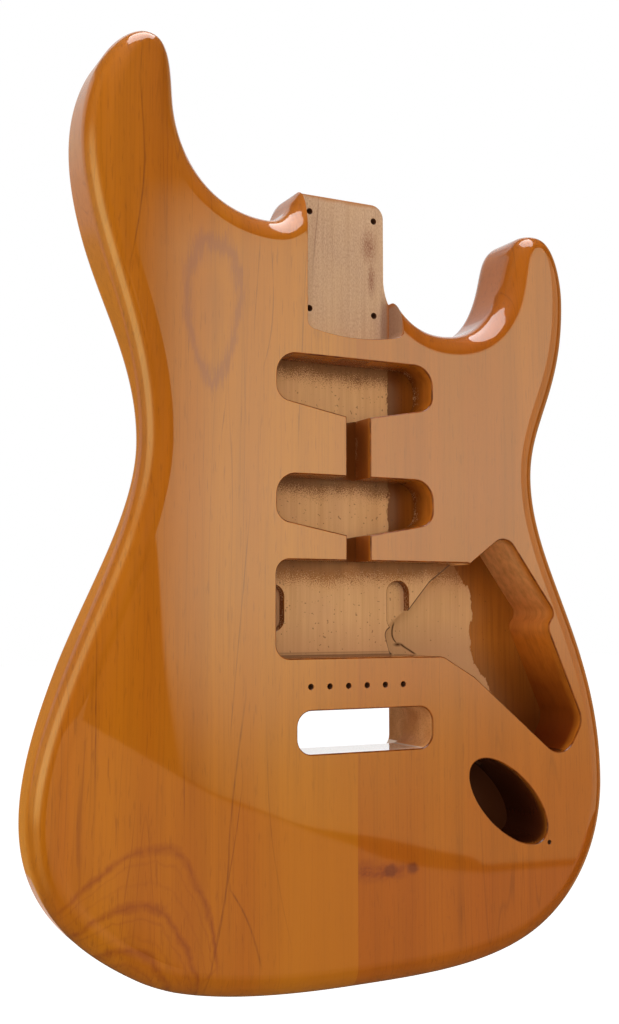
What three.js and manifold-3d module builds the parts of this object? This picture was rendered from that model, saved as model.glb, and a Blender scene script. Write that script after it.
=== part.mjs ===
// Bare double-cutaway electric guitar body, bolt-on neck, millimetres.
//
// The body stands upright as it does on a wall hanger: +Z runs up the neck, the front
// faces -Y, and +X is the treble side. The origin is on the floor of the neck pocket,
// in the middle of the four bolt holes.
//
// It is a blank of two boards that are edge glued near the centre line. The blank is a
// profile carried round the outline: rounded edges, a sloped forearm contour on the
// front and a scooped belly cut on the back. Everything else is routed or drilled.

import * as THREE from 'three';
import { mergeVertices, toCreasedNormals } from 'three/addons/utils/BufferGeometryUtils.js';
import Module from 'manifold-3d';

const wasm = await Module();
wasm.setup();

// Blank
const bodyWidth = 320;
const bodyLength = 465;
const thickness = 44.5;
const edgeRadius = 12.7;
const tailDistance = 366.5;
const glueLineAcross = -0.3;

// Neck pocket
const pocketWidth = 55.8;
const pocketDepth = 15.9;
const pocketWallDrop = 42.5;
const pocketWallSag = 2.6;
const pocketCornerRadius = 4;

// Heel, round the open end of the pocket
const heelRise = 34.2;
const heelCornerRadius = 7;
const heelBassFlare = 4.1;
const heelBassDrop = 7.6;
const heelWallDrop = 1.7;
const heelWallInset = 0.3;
const heelBassRound = 3.3;
const heelFrontRise = 7.8;
const heelFrontRun = 16;
const heelTrebleInset = 3.1;
const heelTrebleFoot = 6;
const heelLipReach = 0.9;
const heelLipDrop = 20;

// Neck bolts
const boltAcross = 38;
const boltAlong = 51;
const boltHoleDiameter = 3.2;

// Neck and middle pickup cavities, measured down from the neck bolts
const neckPickupDrop = 64.8;
const pickupPitch = 60;
const pickupHalfLength = 44.7;
const pickupTop = 11.3;
const pickupEndHeight = 22.4;
const pickupVee = 8.3;
const pickupVeeRadius = 1.5;
const pickupTopRadius = 10.6;
const pickupFootRadius = 7.8;
const pickupDepth = 19;

// Wire channel
const channelWidth = 13.4;
const channelDepth = 15.5;
const channelAcross = 0.8;
const channelCorner = 1;

// Bridge pickup cavity and its two deeper leg slots
const bridgePickupDrop = 179.9;
const bridgePickupHeight = 48.2;
const bridgePickupHalfLength = 44.9;
const bridgePickupCorner = 7;
const bridgePickupInnerCorner = 2;
const legSlotWidth = 13.2;
const legSlotLength = 22.4;
const legSlotDepth = 24;
const legSlotCorner = 6.2;
const bassLegAcross = 38.6;
const trebleLegAcross = 34.6;

// Control cavity
const controlFloor = 8.5;
const controlCorner = 11;

// Bridge screws, and the slot that the tremolo block passes through
const bridgeDrop = 217.9;
const bridgeScrewPitch = 10.5;
const bridgeScrewCount = 6;
const bridgeScrewDiameter = 2.8;
const bridgeScrewDepth = 20;
const slotLength = 76.8;
const slotHeight = 21;
const slotDrop = 22.2;
const slotAcross = 5.1;
const slotCorner = 7.6;

// Spring cavity, routed from the back
const springDepth = 15.9;
const springWidth = 54;
const springAcross = -3;
const springRise = 92;
const springCorner = 9;
const springFootCorner = 1;
const blockRise = 9;
const blockFall = 4.6;

// Jack cavity
const jackLength = 61;
const jackWidth = 29;
const jackTilt = -42;
const jackFloor = 7.5;
const jackScrewReach = 34.6;
const jackScrewDiameter = 2.4;
const jackScrewDepth = 14;

// Wire holes
const jackWireDiameter = 8;
const groundWireDiameter = 4;
const wireHoleInset = 5;

// Contours
const forearmSlope = 0.15;
const forearmPower = 1.8;
const bellyDepth = 17.5;
const bellyReach = 72;
const bellyHalfLength = 108;
const bellyRise = 112;
const bellyPower = 1.7;
const contourLand = 2.4;
const wallReach = 2.3;
const wallLedge = 0.4;

// Working values
const overrun = 3;
const mergeDistance = 1e-4;
const creaseAngle = 0.5;
const profileSteps = 5;
const contourSteps = 5;
const curveSteps = 32;
const leastSteps = 6;
const holeSides = 10;
const frontY = -pocketDepth;
const backY = thickness - pocketDepth;
const pocketHalf = pocketWidth / 2;
const bridgeZ = -bridgeDrop;
const controlDepth = thickness - controlFloor;
const jackDepth = thickness - jackFloor;

// Shares of the room that a rounded edge may take, and of the radius that a quarter
// round's handle takes.
const roomShare = 0.88;
const wallShare = 0.49;
const handleShare = 0.55;

// Outline knots, as shares of the body's width and length: across from the centre line,
// up from the tail. A heading is the way the edge runs there, in degrees from +X, going
// round by the bass side. Back and on are the lengths of the curve's handles.
const tailShares = { across: 0, up: 0, heading: 180, back: 0.088, on: 0.083 };
const bassShares = [
  { across: -0.341, up: 0.034, heading: 152, back: 0.06, on: 0.073 },
  { across: -0.501, up: 0.193, heading: 90, back: 0.08, on: 0.122 },
  { across: -0.348, up: 0.575, heading: 90, back: 0.112, on: 0.121 },
  { across: -0.443, up: 0.883, heading: 90, back: 0.103, on: 0.067 },
  { across: -0.352, up: 1, heading: 0, back: 0.028, on: 0.03 },
  { across: -0.303, up: 0.933, heading: -85, back: 0.031, on: 0.067 },
  { across: -0.144, up: 0.821, heading: 0, back: 0.062, on: 0.019 },
];
const trebleShares = [
  { across: 0.178, up: 0.716, heading: 0, back: 0.034, on: 0.056 },
  { across: 0.307, up: 0.796, heading: 74, back: 0.043, on: 0.029 },
  { across: 0.364, up: 0.85, heading: 0, back: 0.029, on: 0.028 },
  { across: 0.428, up: 0.769, heading: -90, back: 0.037, on: 0.109 },
  { across: 0.356, up: 0.555, heading: -90, back: 0.067, on: 0.105 },
  { across: 0.496, up: 0.203, heading: -90, back: 0.161, on: 0.067 },
  { across: 0.364, up: 0.037, heading: -149, back: 0.07, on: 0.075 },
];
const heelBassHeading = 62;
const heelWallHeading = 52;
const heelLipHeading = -52;

// The forearm contour's inner edge runs straight between two places on the front.
const forearmLineShares = [
  { across: -0.345, up: 0.524 },
  { across: -0.195, up: 0.005 },
];

// Corners of the control cavity, as shares of the body's width and length, and of the
// cavity's largest corner radius.
const controlShares = [
  { across: 0.094, up: 0.349, radius: 0.45 },
  { across: 0.158, up: 0.349, radius: 0.8 },
  { across: 0.219, up: 0.325, radius: 1.1 },
  { across: 0.397, up: 0.224, radius: 1 },
  { across: 0.439, up: 0.271, radius: 1 },
  { across: 0.366, up: 0.382, radius: 0.55 },
  { across: 0.384, up: 0.396, radius: 0.45 },
  { across: 0.284, up: 0.488, radius: 0.77 },
  { across: 0.214, up: 0.453, radius: 0.27 },
  { across: 0.171, up: 0.432, radius: 0.27 },
  { across: 0.13, up: 0.4, radius: 0.27 },
  { across: 0.084, up: 0.375, radius: 0.32 },
];

// The middle of the jack cavity.
const jackShares = { across: 0.284, up: 0.184 };

function degrees(angle) {
  return (angle * Math.PI) / 180;
}

function placeOf(shares) {
  return new THREE.Vector2(shares.across * bodyWidth, shares.up * bodyLength - tailDistance);
}

function knotOf(shares) {
  return {
    place: placeOf(shares),
    heading: shares.heading,
    back: shares.back * bodyLength,
    on: shares.on * bodyLength,
  };
}

function stepAlong(place, heading, distance) {
  const angle = degrees(heading);
  return new THREE.Vector2(place.x + distance * Math.cos(angle), place.y + distance * Math.sin(angle));
}

// The heel: its flared bass corner, its end, its straight treble side, and the lip where
// the treble cutaway's wall begins. Above the pocket's floor the blank runs on past the
// heel's end, so that the edge is fully rounded right up to the pocket's bass wall; the
// pocket takes the rest away.
function heelKnots(abovePocket) {
  const trebleX = pocketHalf - heelTrebleInset;
  const round = heelCornerRadius * handleShare;
  const bassFoot = new THREE.Vector2(-pocketHalf - heelBassFlare, heelRise - heelBassDrop);
  const wall = new THREE.Vector2(-pocketHalf - heelWallInset, heelRise - heelWallDrop);
  const rise = abovePocket ? heelFrontRise : 0;
  const run = abovePocket ? heelFrontRun : heelBassRound;
  const endBass = new THREE.Vector2(-pocketHalf + run, heelRise + rise);
  const endTreble = new THREE.Vector2(trebleX - heelCornerRadius, heelRise + rise);
  const sideTop = new THREE.Vector2(trebleX, heelRise - heelCornerRadius);
  const sideFoot = new THREE.Vector2(trebleX, -heelTrebleFoot);
  const lip = new THREE.Vector2(pocketHalf + heelLipReach, -heelLipDrop);
  return [
    { place: bassFoot, heading: heelBassHeading, back: heelBassDrop * handleShare, on: heelWallDrop },
    { place: wall, heading: heelWallHeading, back: heelWallDrop, on: run / 3 },
    { place: endBass, heading: 0, back: run / 2, on: round, straightOn: true },
    { place: endTreble, heading: 0, back: round, on: round },
    { place: sideTop, heading: -90, back: round, on: round, straightOn: true },
    { place: sideFoot, heading: -90, back: round, on: round },
    { place: lip, heading: heelLipHeading, back: round, on: heelCornerRadius },
  ];
}

// The whole outline, as points on curves between the knots.
function outlinePoints(abovePocket) {
  const knots = [
    knotOf(tailShares),
    ...bassShares.map(knotOf),
    ...heelKnots(abovePocket),
    ...trebleShares.map(knotOf),
  ];
  const points = [];
  knots.forEach((knot, index) => {
    const next = knots[(index + 1) % knots.length];
    const curve = new THREE.CubicBezierCurve(
      knot.place,
      stepAlong(knot.place, knot.heading, knot.on),
      stepAlong(next.place, next.heading, -next.back),
      next.place,
    );
    const span = Math.min(knot.place.distanceTo(next.place), bodyWidth);
    const near = Math.max(Math.abs(knot.place.x), Math.abs(next.place.x)) < pocketWidth;
    const steps = knot.straightOn ? 1 : Math.max(leastSteps, near ? 0 : Math.round((curveSteps * span) / bodyWidth));
    points.push(...curve.getPoints(steps).slice(0, -1));
  });
  return points.reverse();
}

// For each outline point: the way in from the edge.
function edgeFrames(points) {
  return points.map((place, index) => {
    const before = points[(index + points.length - 1) % points.length];
    const after = points[(index + 1) % points.length];
    const into = place.clone().sub(before).normalize();
    const onward = after.clone().sub(place).normalize();
    const along = into.add(onward).normalize();
    return { place, inward: new THREE.Vector2(-along.y, along.x) };
  });
}

// How far in each edge point may be carried, so that no two columns cross: within the
// largest circle that touches the edge there and fits inside the outline.
function roomInside(frames) {
  return frames.map((frame) => {
    const radii = frames.map((other) => {
      const across = other.place.clone().sub(frame.place);
      const depth = across.dot(frame.inward);
      return depth > 0 ? across.lengthSq() / (2 * depth) : Infinity;
    });
    return Math.min(edgeRadius + contourLand, roomShare * Math.min(...radii));
  });
}

// Forearm contour: a flat slope that falls from its line towards the bass edge.
function forearmAt(frame) {
  const [top, foot] = forearmLineShares.map(placeOf);
  const down = foot.sub(top).normalize();
  const inward = new THREE.Vector2(-down.y, down.x);
  const distance = -frame.place.clone().sub(top).dot(inward);
  const reach = Math.max(0, distance - edgeRadius);
  return { inward, reach, drop: forearmSlope * reach, power: forearmPower };
}

// Belly cut: a scoop that is deepest at the bass waist and fades out along the edge.
function bellyAt(frame) {
  const along = (frame.place.y - bridgeZ - bellyRise) / bellyHalfLength;
  const fade = frame.place.x < 0 && Math.abs(along) < 1 ? Math.cos((along * Math.PI) / 2) ** 2 : 0;
  return { inward: new THREE.Vector2(1, 0), reach: bellyReach * fade, drop: bellyDepth * fade, power: bellyPower };
}

// One side of the edge, from the flat face out to the wall: places with their depth
// below the face. The contour comes first, then the rounded edge.
function sideProfile(frame, room, contour, radius) {
  const roundReach = (radius * room) / (edgeRadius + contourLand);
  const rows = [];
  const contourFoot = frame.place.clone().addScaledVector(frame.inward, roundReach);
  for (let step = 0; step <= contourSteps; step += 1) {
    const share = step / contourSteps;
    const place = contourFoot
      .clone()
      .addScaledVector(frame.inward, (room - roundReach) * (1 - share))
      .addScaledVector(contour.inward, contour.reach * (1 - share));
    rows.push({ place, depth: contour.drop * share ** contour.power });
  }
  for (let step = 1; step <= profileSteps; step += 1) {
    const angle = ((step / profileSteps) * Math.PI) / 2;
    const place = frame.place.clone().addScaledVector(frame.inward, roundReach * (1 - Math.sin(angle)));
    rows.push({ place, depth: contour.drop + radius * (1 - Math.cos(angle)) });
  }
  return rows;
}

// The blank: rings round the outline from the front face, over both edges, to the back.
// Where the two contours leave a thin edge, its rounding is limited by what is left. The
// wall steps from the front outline to the back one just above the pocket's floor.
function blankGeometry() {
  const frontFrames = edgeFrames(outlinePoints(true));
  const frames = edgeFrames(outlinePoints(false));
  const frontRooms = roomInside(frontFrames);
  const rooms = roomInside(frames);
  const columns = frames.map((frame, index) => {
    const forearm = forearmAt(frame);
    const belly = bellyAt(frame);
    const radius = Math.min(edgeRadius, wallShare * (thickness - forearm.drop - belly.drop));
    const front = sideProfile(frontFrames[index], frontRooms[index], forearm, radius);
    const wallTop = forearm.drop + radius;
    const third = (thickness - belly.drop - radius - wallTop) / 3;
    const ledge = wallTop + Math.min(third, wallReach);
    front.push({ place: frontFrames[index].place, depth: ledge });
    front.push({ place: frame.place, depth: ledge + Math.min(third, wallLedge) });
    const back = sideProfile(frame, rooms[index], belly, radius).reverse();
    return [
      ...front.map((row) => [row.place.x, frontY + row.depth, row.place.y]),
      ...back.map((row) => [row.place.x, backY - row.depth, row.place.y]),
    ];
  });
  const rings = columns[0].length;
  const faces = [];
  const at = (column, ring) => (column % columns.length) * rings + ring;
  columns.forEach((_, column) => {
    for (let ring = 0; ring < rings - 1; ring += 1) {
      faces.push(at(column, ring), at(column, ring + 1), at(column + 1, ring));
      faces.push(at(column + 1, ring), at(column, ring + 1), at(column + 1, ring + 1));
    }
  });
  const capOf = (ring) => columns.map((rows) => new THREE.Vector2(rows[ring][0], rows[ring][2]));
  THREE.ShapeUtils.triangulateShape(capOf(0), []).forEach(([a, b, c]) => {
    faces.push(at(a, 0), at(b, 0), at(c, 0));
  });
  THREE.ShapeUtils.triangulateShape(capOf(rings - 1), []).forEach(([a, b, c]) => {
    faces.push(at(a, rings - 1), at(c, rings - 1), at(b, rings - 1));
  });
  const geometry = new THREE.BufferGeometry();
  geometry.setAttribute('position', new THREE.Float32BufferAttribute(columns.flat(2), 3));
  geometry.setIndex(faces);
  return geometry;
}

function solidOf(source) {
  const geometry = source.clone();
  geometry.deleteAttribute('normal');
  geometry.deleteAttribute('uv');
  const merged = mergeVertices(geometry, mergeDistance);
  const mesh = new wasm.Mesh({
    numProp: 3,
    vertProperties: new Float32Array(merged.attributes.position.array),
    triVerts: new Uint32Array(merged.index.array),
  });
  return new wasm.Manifold(mesh);
}

function geometryOf(solid) {
  const mesh = solid.getMesh();
  const geometry = new THREE.BufferGeometry();
  geometry.setAttribute('position', new THREE.Float32BufferAttribute(mesh.vertProperties, 3));
  geometry.setIndex([...mesh.triVerts]);
  return toCreasedNormals(geometry, creaseAngle);
}

// A closed path with each corner rounded by its own radius.
function roundedShape(corners) {
  const shape = new THREE.Shape();
  corners.forEach((corner, index) => {
    const before = corners[(index + corners.length - 1) % corners.length].place;
    const after = corners[(index + 1) % corners.length].place;
    const toBefore = before.clone().sub(corner.place).normalize();
    const toAfter = after.clone().sub(corner.place).normalize();
    const half = Math.acos(THREE.MathUtils.clamp(toBefore.dot(toAfter), -1, 1)) / 2;
    const tangent = corner.radius / Math.tan(half);
    const middle = toBefore.clone().add(toAfter).normalize();
    const centre = corner.place.clone().addScaledVector(middle, corner.radius / Math.sin(half));
    const start = corner.place.clone().addScaledVector(toBefore, tangent);
    const end = corner.place.clone().addScaledVector(toAfter, tangent);
    const from = Math.atan2(start.y - centre.y, start.x - centre.x);
    const to = Math.atan2(end.y - centre.y, end.x - centre.x);
    const clockwise = toBefore.cross(toAfter) > 0;
    shape.absarc(centre.x, centre.y, corner.radius, from, to, clockwise);
  });
  return shape;
}

function cornersOf(list) {
  return list.map(([across, up, radius]) => ({ place: new THREE.Vector2(across, up), radius }));
}

// A rectangle from its sides, with one radius for its upper corners and one for its lower.
function roundedBox(left, right, foot, top, topRadius, footRadius) {
  return roundedShape(
    cornersOf([
      [left, top, topRadius],
      [left, foot, footRadius],
      [right, foot, footRadius],
      [right, top, topRadius],
    ]),
  );
}

// What a router takes out: a plan carried between two depths of the body.
function routed(shape, nearY, farY, segments = 4) {
  const geometry = new THREE.ExtrudeGeometry(shape, {
    depth: farY - nearY,
    bevelEnabled: false,
    curveSegments: segments,
  });
  geometry.rotateX(Math.PI / 2);
  geometry.translate(0, farY, 0);
  return solidOf(geometry);
}

function fromFront(shape, depth, segments) {
  return routed(shape, frontY - overrun, frontY + depth, segments);
}

function fromBack(shape, depth, segments) {
  return routed(shape, backY - depth, backY + overrun, segments);
}

function drilled(diameter, from, to) {
  const geometry = new THREE.CylinderGeometry(diameter / 2, diameter / 2, from.distanceTo(to), holeSides);
  const direction = to.clone().sub(from).normalize();
  geometry.applyQuaternion(new THREE.Quaternion().setFromUnitVectors(new THREE.Vector3(0, 1, 0), direction));
  const middle = from.clone().lerp(to, 0.5);
  geometry.translate(middle.x, middle.y, middle.z);
  return solidOf(geometry);
}

function drilledAt(diameter, place, nearY, farY) {
  return drilled(diameter, new THREE.Vector3(place.x, nearY, place.y), new THREE.Vector3(place.x, farY, place.y));
}

// Neck pocket: open at the heel's end, its tail wall bowed towards the tail. The corner
// curves leave the bow along its own slope.
function neckPocket() {
  const bowHalf = pocketHalf - pocketCornerRadius;
  const bowZ = -pocketWallDrop + pocketWallSag;
  const cornerZ = bowZ + (2 * pocketWallSag * pocketCornerRadius) / bowHalf;
  const openZ = heelRise + edgeRadius;
  const shape = new THREE.Shape();
  shape.moveTo(pocketHalf, openZ);
  shape.lineTo(-pocketHalf, openZ);
  shape.lineTo(-pocketHalf, cornerZ + pocketCornerRadius);
  shape.quadraticCurveTo(-pocketHalf, cornerZ, -bowHalf, bowZ);
  shape.quadraticCurveTo(0, -pocketWallDrop - pocketWallSag, bowHalf, bowZ);
  shape.quadraticCurveTo(pocketHalf, cornerZ, pocketHalf, cornerZ + pocketCornerRadius);
  shape.closePath();
  return fromFront(shape, pocketDepth, 6);
}

// Pickup cavity: a straight side towards the neck and a shallow vee towards the bridge.
function pickupCavity(drop) {
  const top = pickupTop - drop;
  const endFoot = top - pickupEndHeight;
  const corners = cornersOf([
    [-pickupHalfLength, top, pickupTopRadius],
    [-pickupHalfLength, endFoot, pickupFootRadius],
    [0, endFoot - pickupVee, pickupVeeRadius],
    [pickupHalfLength, endFoot, pickupFootRadius],
    [pickupHalfLength, top, pickupTopRadius],
  ]);
  return fromFront(roundedShape(corners), pickupDepth, 5);
}

// Wire channel near the centre line, from the neck pickup to the bridge pickup.
function wireChannel() {
  const half = channelWidth / 2;
  const left = channelAcross - half;
  const right = channelAcross + half;
  const shape = roundedBox(left, right, -bridgePickupDrop, -neckPickupDrop, channelCorner, channelCorner);
  return fromFront(shape, channelDepth, 1);
}

// Bridge pickup cavity: its treble end runs on into the control cavity.
function bridgePickupCavity() {
  const half = bridgePickupHeight / 2;
  const top = half - bridgePickupDrop;
  const foot = -half - bridgePickupDrop;
  const corners = cornersOf([
    [-bridgePickupHalfLength, top, bridgePickupCorner],
    [-bridgePickupHalfLength, foot, bridgePickupCorner],
    [bridgePickupHalfLength, foot, bridgePickupInnerCorner],
    [bridgePickupHalfLength + half, top, bridgePickupInnerCorner],
  ]);
  return fromFront(roundedShape(corners), pickupDepth, 4);
}

function legSlot(across) {
  const halfWidth = legSlotWidth / 2;
  const halfLength = legSlotLength / 2;
  const foot = -bridgePickupDrop - halfLength;
  const top = -bridgePickupDrop + halfLength;
  const shape = roundedBox(across - halfWidth, across + halfWidth, foot, top, legSlotCorner, legSlotCorner);
  return fromFront(shape, legSlotDepth, 3);
}

function controlCavity() {
  const corners = controlShares.map((share) => ({ place: placeOf(share), radius: share.radius * controlCorner }));
  return fromFront(roundedShape(corners), controlDepth, 4);
}

// Tremolo slot, right through the body, and the wider room behind it for the block.
function tremoloSlot() {
  const left = slotAcross - slotLength / 2;
  const right = slotAcross + slotLength / 2;
  const foot = bridgeZ - slotDrop - slotHeight / 2;
  const top = foot + slotHeight;
  const through = roundedBox(left, right, foot, top, slotCorner, slotCorner);
  const behind = roundedBox(left, right, foot - blockFall, top + blockRise, slotCorner, slotCorner);
  return routed(through, frontY - overrun, backY + overrun).add(fromBack(behind, springDepth));
}

function springCavity() {
  const left = springAcross - springWidth / 2;
  const right = springAcross + springWidth / 2;
  const foot = bridgeZ - slotDrop;
  return fromBack(roundedBox(left, right, foot, bridgeZ + springRise, springCorner, springFootCorner), springDepth);
}

function jackCavity() {
  const middle = placeOf(jackShares);
  const shape = new THREE.Shape();
  shape.absellipse(
    middle.x,
    middle.y,
    jackLength / 2,
    jackWidth / 2,
    0,
    Math.PI * 2,
    false,
    degrees(jackTilt),
  );
  return fromFront(shape, jackDepth, 14);
}

function jackScrewHole() {
  const place = stepAlong(placeOf(jackShares), jackTilt, jackScrewReach);
  return drilledAt(jackScrewDiameter, place, frontY - overrun, frontY + jackScrewDepth);
}

function bridgeScrewHoles() {
  const holes = [];
  for (let index = 0; index < bridgeScrewCount; index += 1) {
    const across = (index - (bridgeScrewCount - 1) / 2) * bridgeScrewPitch;
    const place = new THREE.Vector2(across, bridgeZ);
    holes.push(drilledAt(bridgeScrewDiameter, place, frontY - overrun, frontY + bridgeScrewDepth));
  }
  return holes;
}

function neckBoltHoles() {
  const holes = [];
  for (const side of [-1, 1]) {
    for (const end of [-1, 1]) {
      const place = new THREE.Vector2((side * boltAcross) / 2, (end * boltAlong) / 2);
      holes.push(drilledAt(boltHoleDiameter, place, -overrun, backY + overrun));
    }
  }
  return holes;
}

// Wire holes: from the jack cavity up into the control cavity, and from the control
// cavity's inner end through the thin wall into the spring cavity.
function wireHoles() {
  const jack = placeOf(jackShares);
  const jackY = frontY + controlDepth - wireHoleInset;
  const jackEnd = new THREE.Vector3(jack.x, jackY, jack.y);
  const controlEnd = new THREE.Vector3(jack.x, jackY, bridgeZ);
  const inner = placeOf(controlShares[0]);
  const groundY = (backY - springDepth + frontY + controlDepth) / 2;
  const groundZ = inner.y + controlCorner;
  const springEnd = new THREE.Vector3(springAcross + springWidth / 2 - overrun, groundY, groundZ);
  const innerEnd = new THREE.Vector3(inner.x + overrun, groundY, groundZ);
  return [drilled(jackWireDiameter, jackEnd, controlEnd), drilled(groundWireDiameter, springEnd, innerEnd)];
}

// The blank with every cavity and hole in it.
function routedBody() {
  const cuts = [
    neckPocket(),
    pickupCavity(neckPickupDrop),
    pickupCavity(neckPickupDrop + pickupPitch),
    wireChannel(),
    bridgePickupCavity(),
    legSlot(-bassLegAcross),
    legSlot(trebleLegAcross),
    controlCavity(),
    tremoloSlot(),
    springCavity(),
    jackCavity(),
    jackScrewHole(),
    ...bridgeScrewHoles(),
    ...neckBoltHoles(),
    ...wireHoles(),
  ];
  return cuts.reduce((body, cut) => body.subtract(cut), solidOf(blankGeometry()));
}

// One board of the blank: what lies on its side of the glue line.
function boardGeometry(body, side) {
  const geometry = new THREE.BoxGeometry(bodyWidth, thickness * 2, bodyLength * 2);
  geometry.translate(glueLineAcross + (side * bodyWidth) / 2, 0, 0);
  return geometryOf(body.intersect(solidOf(geometry)));
}

const lacquer = { roughness: 0.18, metalness: 0 };
const body = routedBody();
const group = new THREE.Group();

const bassBoard = new THREE.Mesh(
  boardGeometry(body, -1),
  new THREE.MeshStandardMaterial({ color: 0xb8783a, ...lacquer }),
);
bassBoard.name = 'bass_board';
group.add(bassBoard);

const trebleBoard = new THREE.Mesh(
  boardGeometry(body, 1),
  new THREE.MeshStandardMaterial({ color: 0xbd7d3e, ...lacquer }),
);
trebleBoard.name = 'treble_board';
group.add(trebleBoard);

export default group;
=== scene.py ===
"""Bare double-cutaway electric guitar body in gloss amber lacquer.

The blank of two edge-glued boards is a profile carried round the outline. Cutters for
the pocket, cavities and holes are plans carried between two depths, each with a small
rounded lip where the router went in. Lengths are in metres. X runs to the treble side,
Z up the neck and Y from the front face to the back.
"""

import math

import bpy
import numpy as np
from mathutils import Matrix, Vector


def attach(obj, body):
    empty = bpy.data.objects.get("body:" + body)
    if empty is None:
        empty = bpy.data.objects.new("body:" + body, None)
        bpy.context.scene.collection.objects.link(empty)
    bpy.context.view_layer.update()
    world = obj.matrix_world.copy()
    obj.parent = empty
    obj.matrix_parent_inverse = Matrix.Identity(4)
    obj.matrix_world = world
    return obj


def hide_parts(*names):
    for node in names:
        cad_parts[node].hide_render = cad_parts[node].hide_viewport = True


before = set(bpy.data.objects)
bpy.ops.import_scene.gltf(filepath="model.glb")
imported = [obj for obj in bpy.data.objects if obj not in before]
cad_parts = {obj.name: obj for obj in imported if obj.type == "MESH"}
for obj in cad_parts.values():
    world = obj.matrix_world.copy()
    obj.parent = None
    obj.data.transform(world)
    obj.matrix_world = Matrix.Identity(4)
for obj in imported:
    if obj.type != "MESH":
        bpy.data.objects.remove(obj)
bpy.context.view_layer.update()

bl_info = {
    "name": "Guitar Body",
    "version": (1, 0, 0),
    "blender": (4, 5, 0),
    "location": "View3D > Sidebar > Guitar Body",
    "description": "Builds a bare lacquered electric guitar body and its studio",
    "category": "Add Mesh",
}

# Outline knots as shares of the body's width and length: across from the centre line, up
# from the tail, heading in degrees from +X, and the handles behind and ahead.
TAIL_KNOT = np.array([[0, 0, 180, 0.088, 0.083]])
BASS_KNOTS = np.array([
    [-0.341, 0.034, 152, 0.06, 0.073],
    [-0.501, 0.193, 90, 0.08, 0.122],
    [-0.348, 0.575, 90, 0.112, 0.121],
    [-0.443, 0.883, 90, 0.103, 0.067],
    [-0.352, 1, 0, 0.028, 0.03],
    [-0.303, 0.933, -85, 0.031, 0.067],
    [-0.144, 0.821, 0, 0.062, 0.019],
])
TREBLE_KNOTS = np.array([
    [0.178, 0.716, 0, 0.034, 0.056],
    [0.307, 0.796, 74, 0.043, 0.029],
    [0.364, 0.85, 0, 0.029, 0.028],
    [0.428, 0.769, -90, 0.037, 0.109],
    [0.356, 0.555, -90, 0.067, 0.105],
    [0.496, 0.203, -90, 0.161, 0.067],
    [0.364, 0.037, -149, 0.07, 0.075],
])

# Heel knots in metres: across, up, heading, handles behind and ahead. Above the pocket's
# floor the blank runs on past the heel's end, and the pocket takes the rest away.
HEEL_KNOTS = np.array([
    [-0.032, 0.0266, 62, 0.00418, 0.0017],
    [-0.0282, 0.0325, 52, 0.0017, 0.0011],
    [-0.0246, 0.0342, 0, 0.00165, 0.00385],
    [0.0178, 0.0342, 0, 0.00385, 0.00385],
    [0.0248, 0.0272, -90, 0.00385, 0.00385],
    [0.0248, -0.006, -90, 0.00385, 0.00385],
    [0.0288, -0.02, -52, 0.00385, 0.007],
])
FRONT_HEEL_END = np.array([
    [-0.0282, 0.0325, 52, 0.0017, 0.00533],
    [-0.0119, 0.042, 0, 0.008, 0.00385],
    [0.0178, 0.042, 0, 0.00385, 0.00385],
])
FRONT_HEEL_KNOTS = np.vstack([HEEL_KNOTS[:1], FRONT_HEEL_END, HEEL_KNOTS[4:]])

# The forearm contour's inner edge, and the corners of the control cavity with each
# corner's radius as a share of the largest.
FOREARM_LINE = np.array([[-0.345, 0.524], [-0.25, 0.005]])
CONTROL_CORNERS = np.array([
    [0.094, 0.349, 0.45],
    [0.158, 0.349, 0.8],
    [0.219, 0.325, 1.1],
    [0.397, 0.224, 1],
    [0.439, 0.271, 1],
    [0.366, 0.382, 0.55],
    [0.384, 0.396, 0.45],
    [0.284, 0.488, 0.77],
    [0.214, 0.453, 0.27],
    [0.171, 0.432, 0.27],
    [0.13, 0.4, 0.27],
    [0.084, 0.375, 0.32],
])
JACK_PLACE = np.array([0.284, 0.184])

# Finishes of the surfaces that a cut can leave, in the order of the material slots.
LACQUER, FLOOR, WALL, POCKET, HOLE, GLUED, EDGE = range(7)


def number(name, description, default, **kind):
    """A setting that is a number; kind may give its unit or subtype."""
    return bpy.props.FloatProperty(name=name, description=description, default=default, **kind)


def length(name, description, default):
    """A setting that is a length in metres."""
    return number(name, description, default, unit="LENGTH")


def paint(name, description, default):
    """A setting that is a colour with its alpha."""
    return bpy.props.FloatVectorProperty(
        name=name, description=description, default=default, subtype="COLOR", size=4, min=0, max=1
    )


class GuitarBlankSettings(bpy.types.PropertyGroup):
    """Sizes of the blank before routing."""

    body_width: length("Body width", "Width over both bouts that the outline's shares refer to", 0.32)
    body_length: length("Body length", "Length from the tail to the tip of the long horn", 0.465)
    thickness: length("Thickness", "Thickness of the blank", 0.0445)
    tail_distance: length("Tail distance", "Distance from the middle of the neck bolts to the tail", 0.3665)
    edge_radius: length("Edge radius", "Radius of the rounded edges", 0.0127)
    contour_land: length("Contour land", "Narrowest strip between rounded edge and flat face", 0.0024)
    glue_line: length("Glue line", "Where the two boards meet, from the centre line", -0.0003)
    forearm_slope: number("Forearm slope", "Fall of the forearm contour over its run", 0.16)
    forearm_power: number("Forearm bend", "How gently the forearm contour leaves the face", 2.4)
    belly_depth: length("Belly cut depth", "Depth of the belly cut at the bass waist", 0.0175)
    belly_reach: length("Belly cut reach", "How far the belly cut runs in from the edge", 0.072)
    belly_half: length("Belly cut half length", "Half of the belly cut's length along the edge", 0.108)
    belly_middle: length("Belly cut middle", "Height of the belly cut's middle", -0.1059)
    belly_power: number("Belly cut hollow", "How hollow the belly cut is", 1.7)
    columns: bpy.props.IntProperty(
        name="Columns", description="Columns round the outline for each body width of edge", default=150
    )


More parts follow.
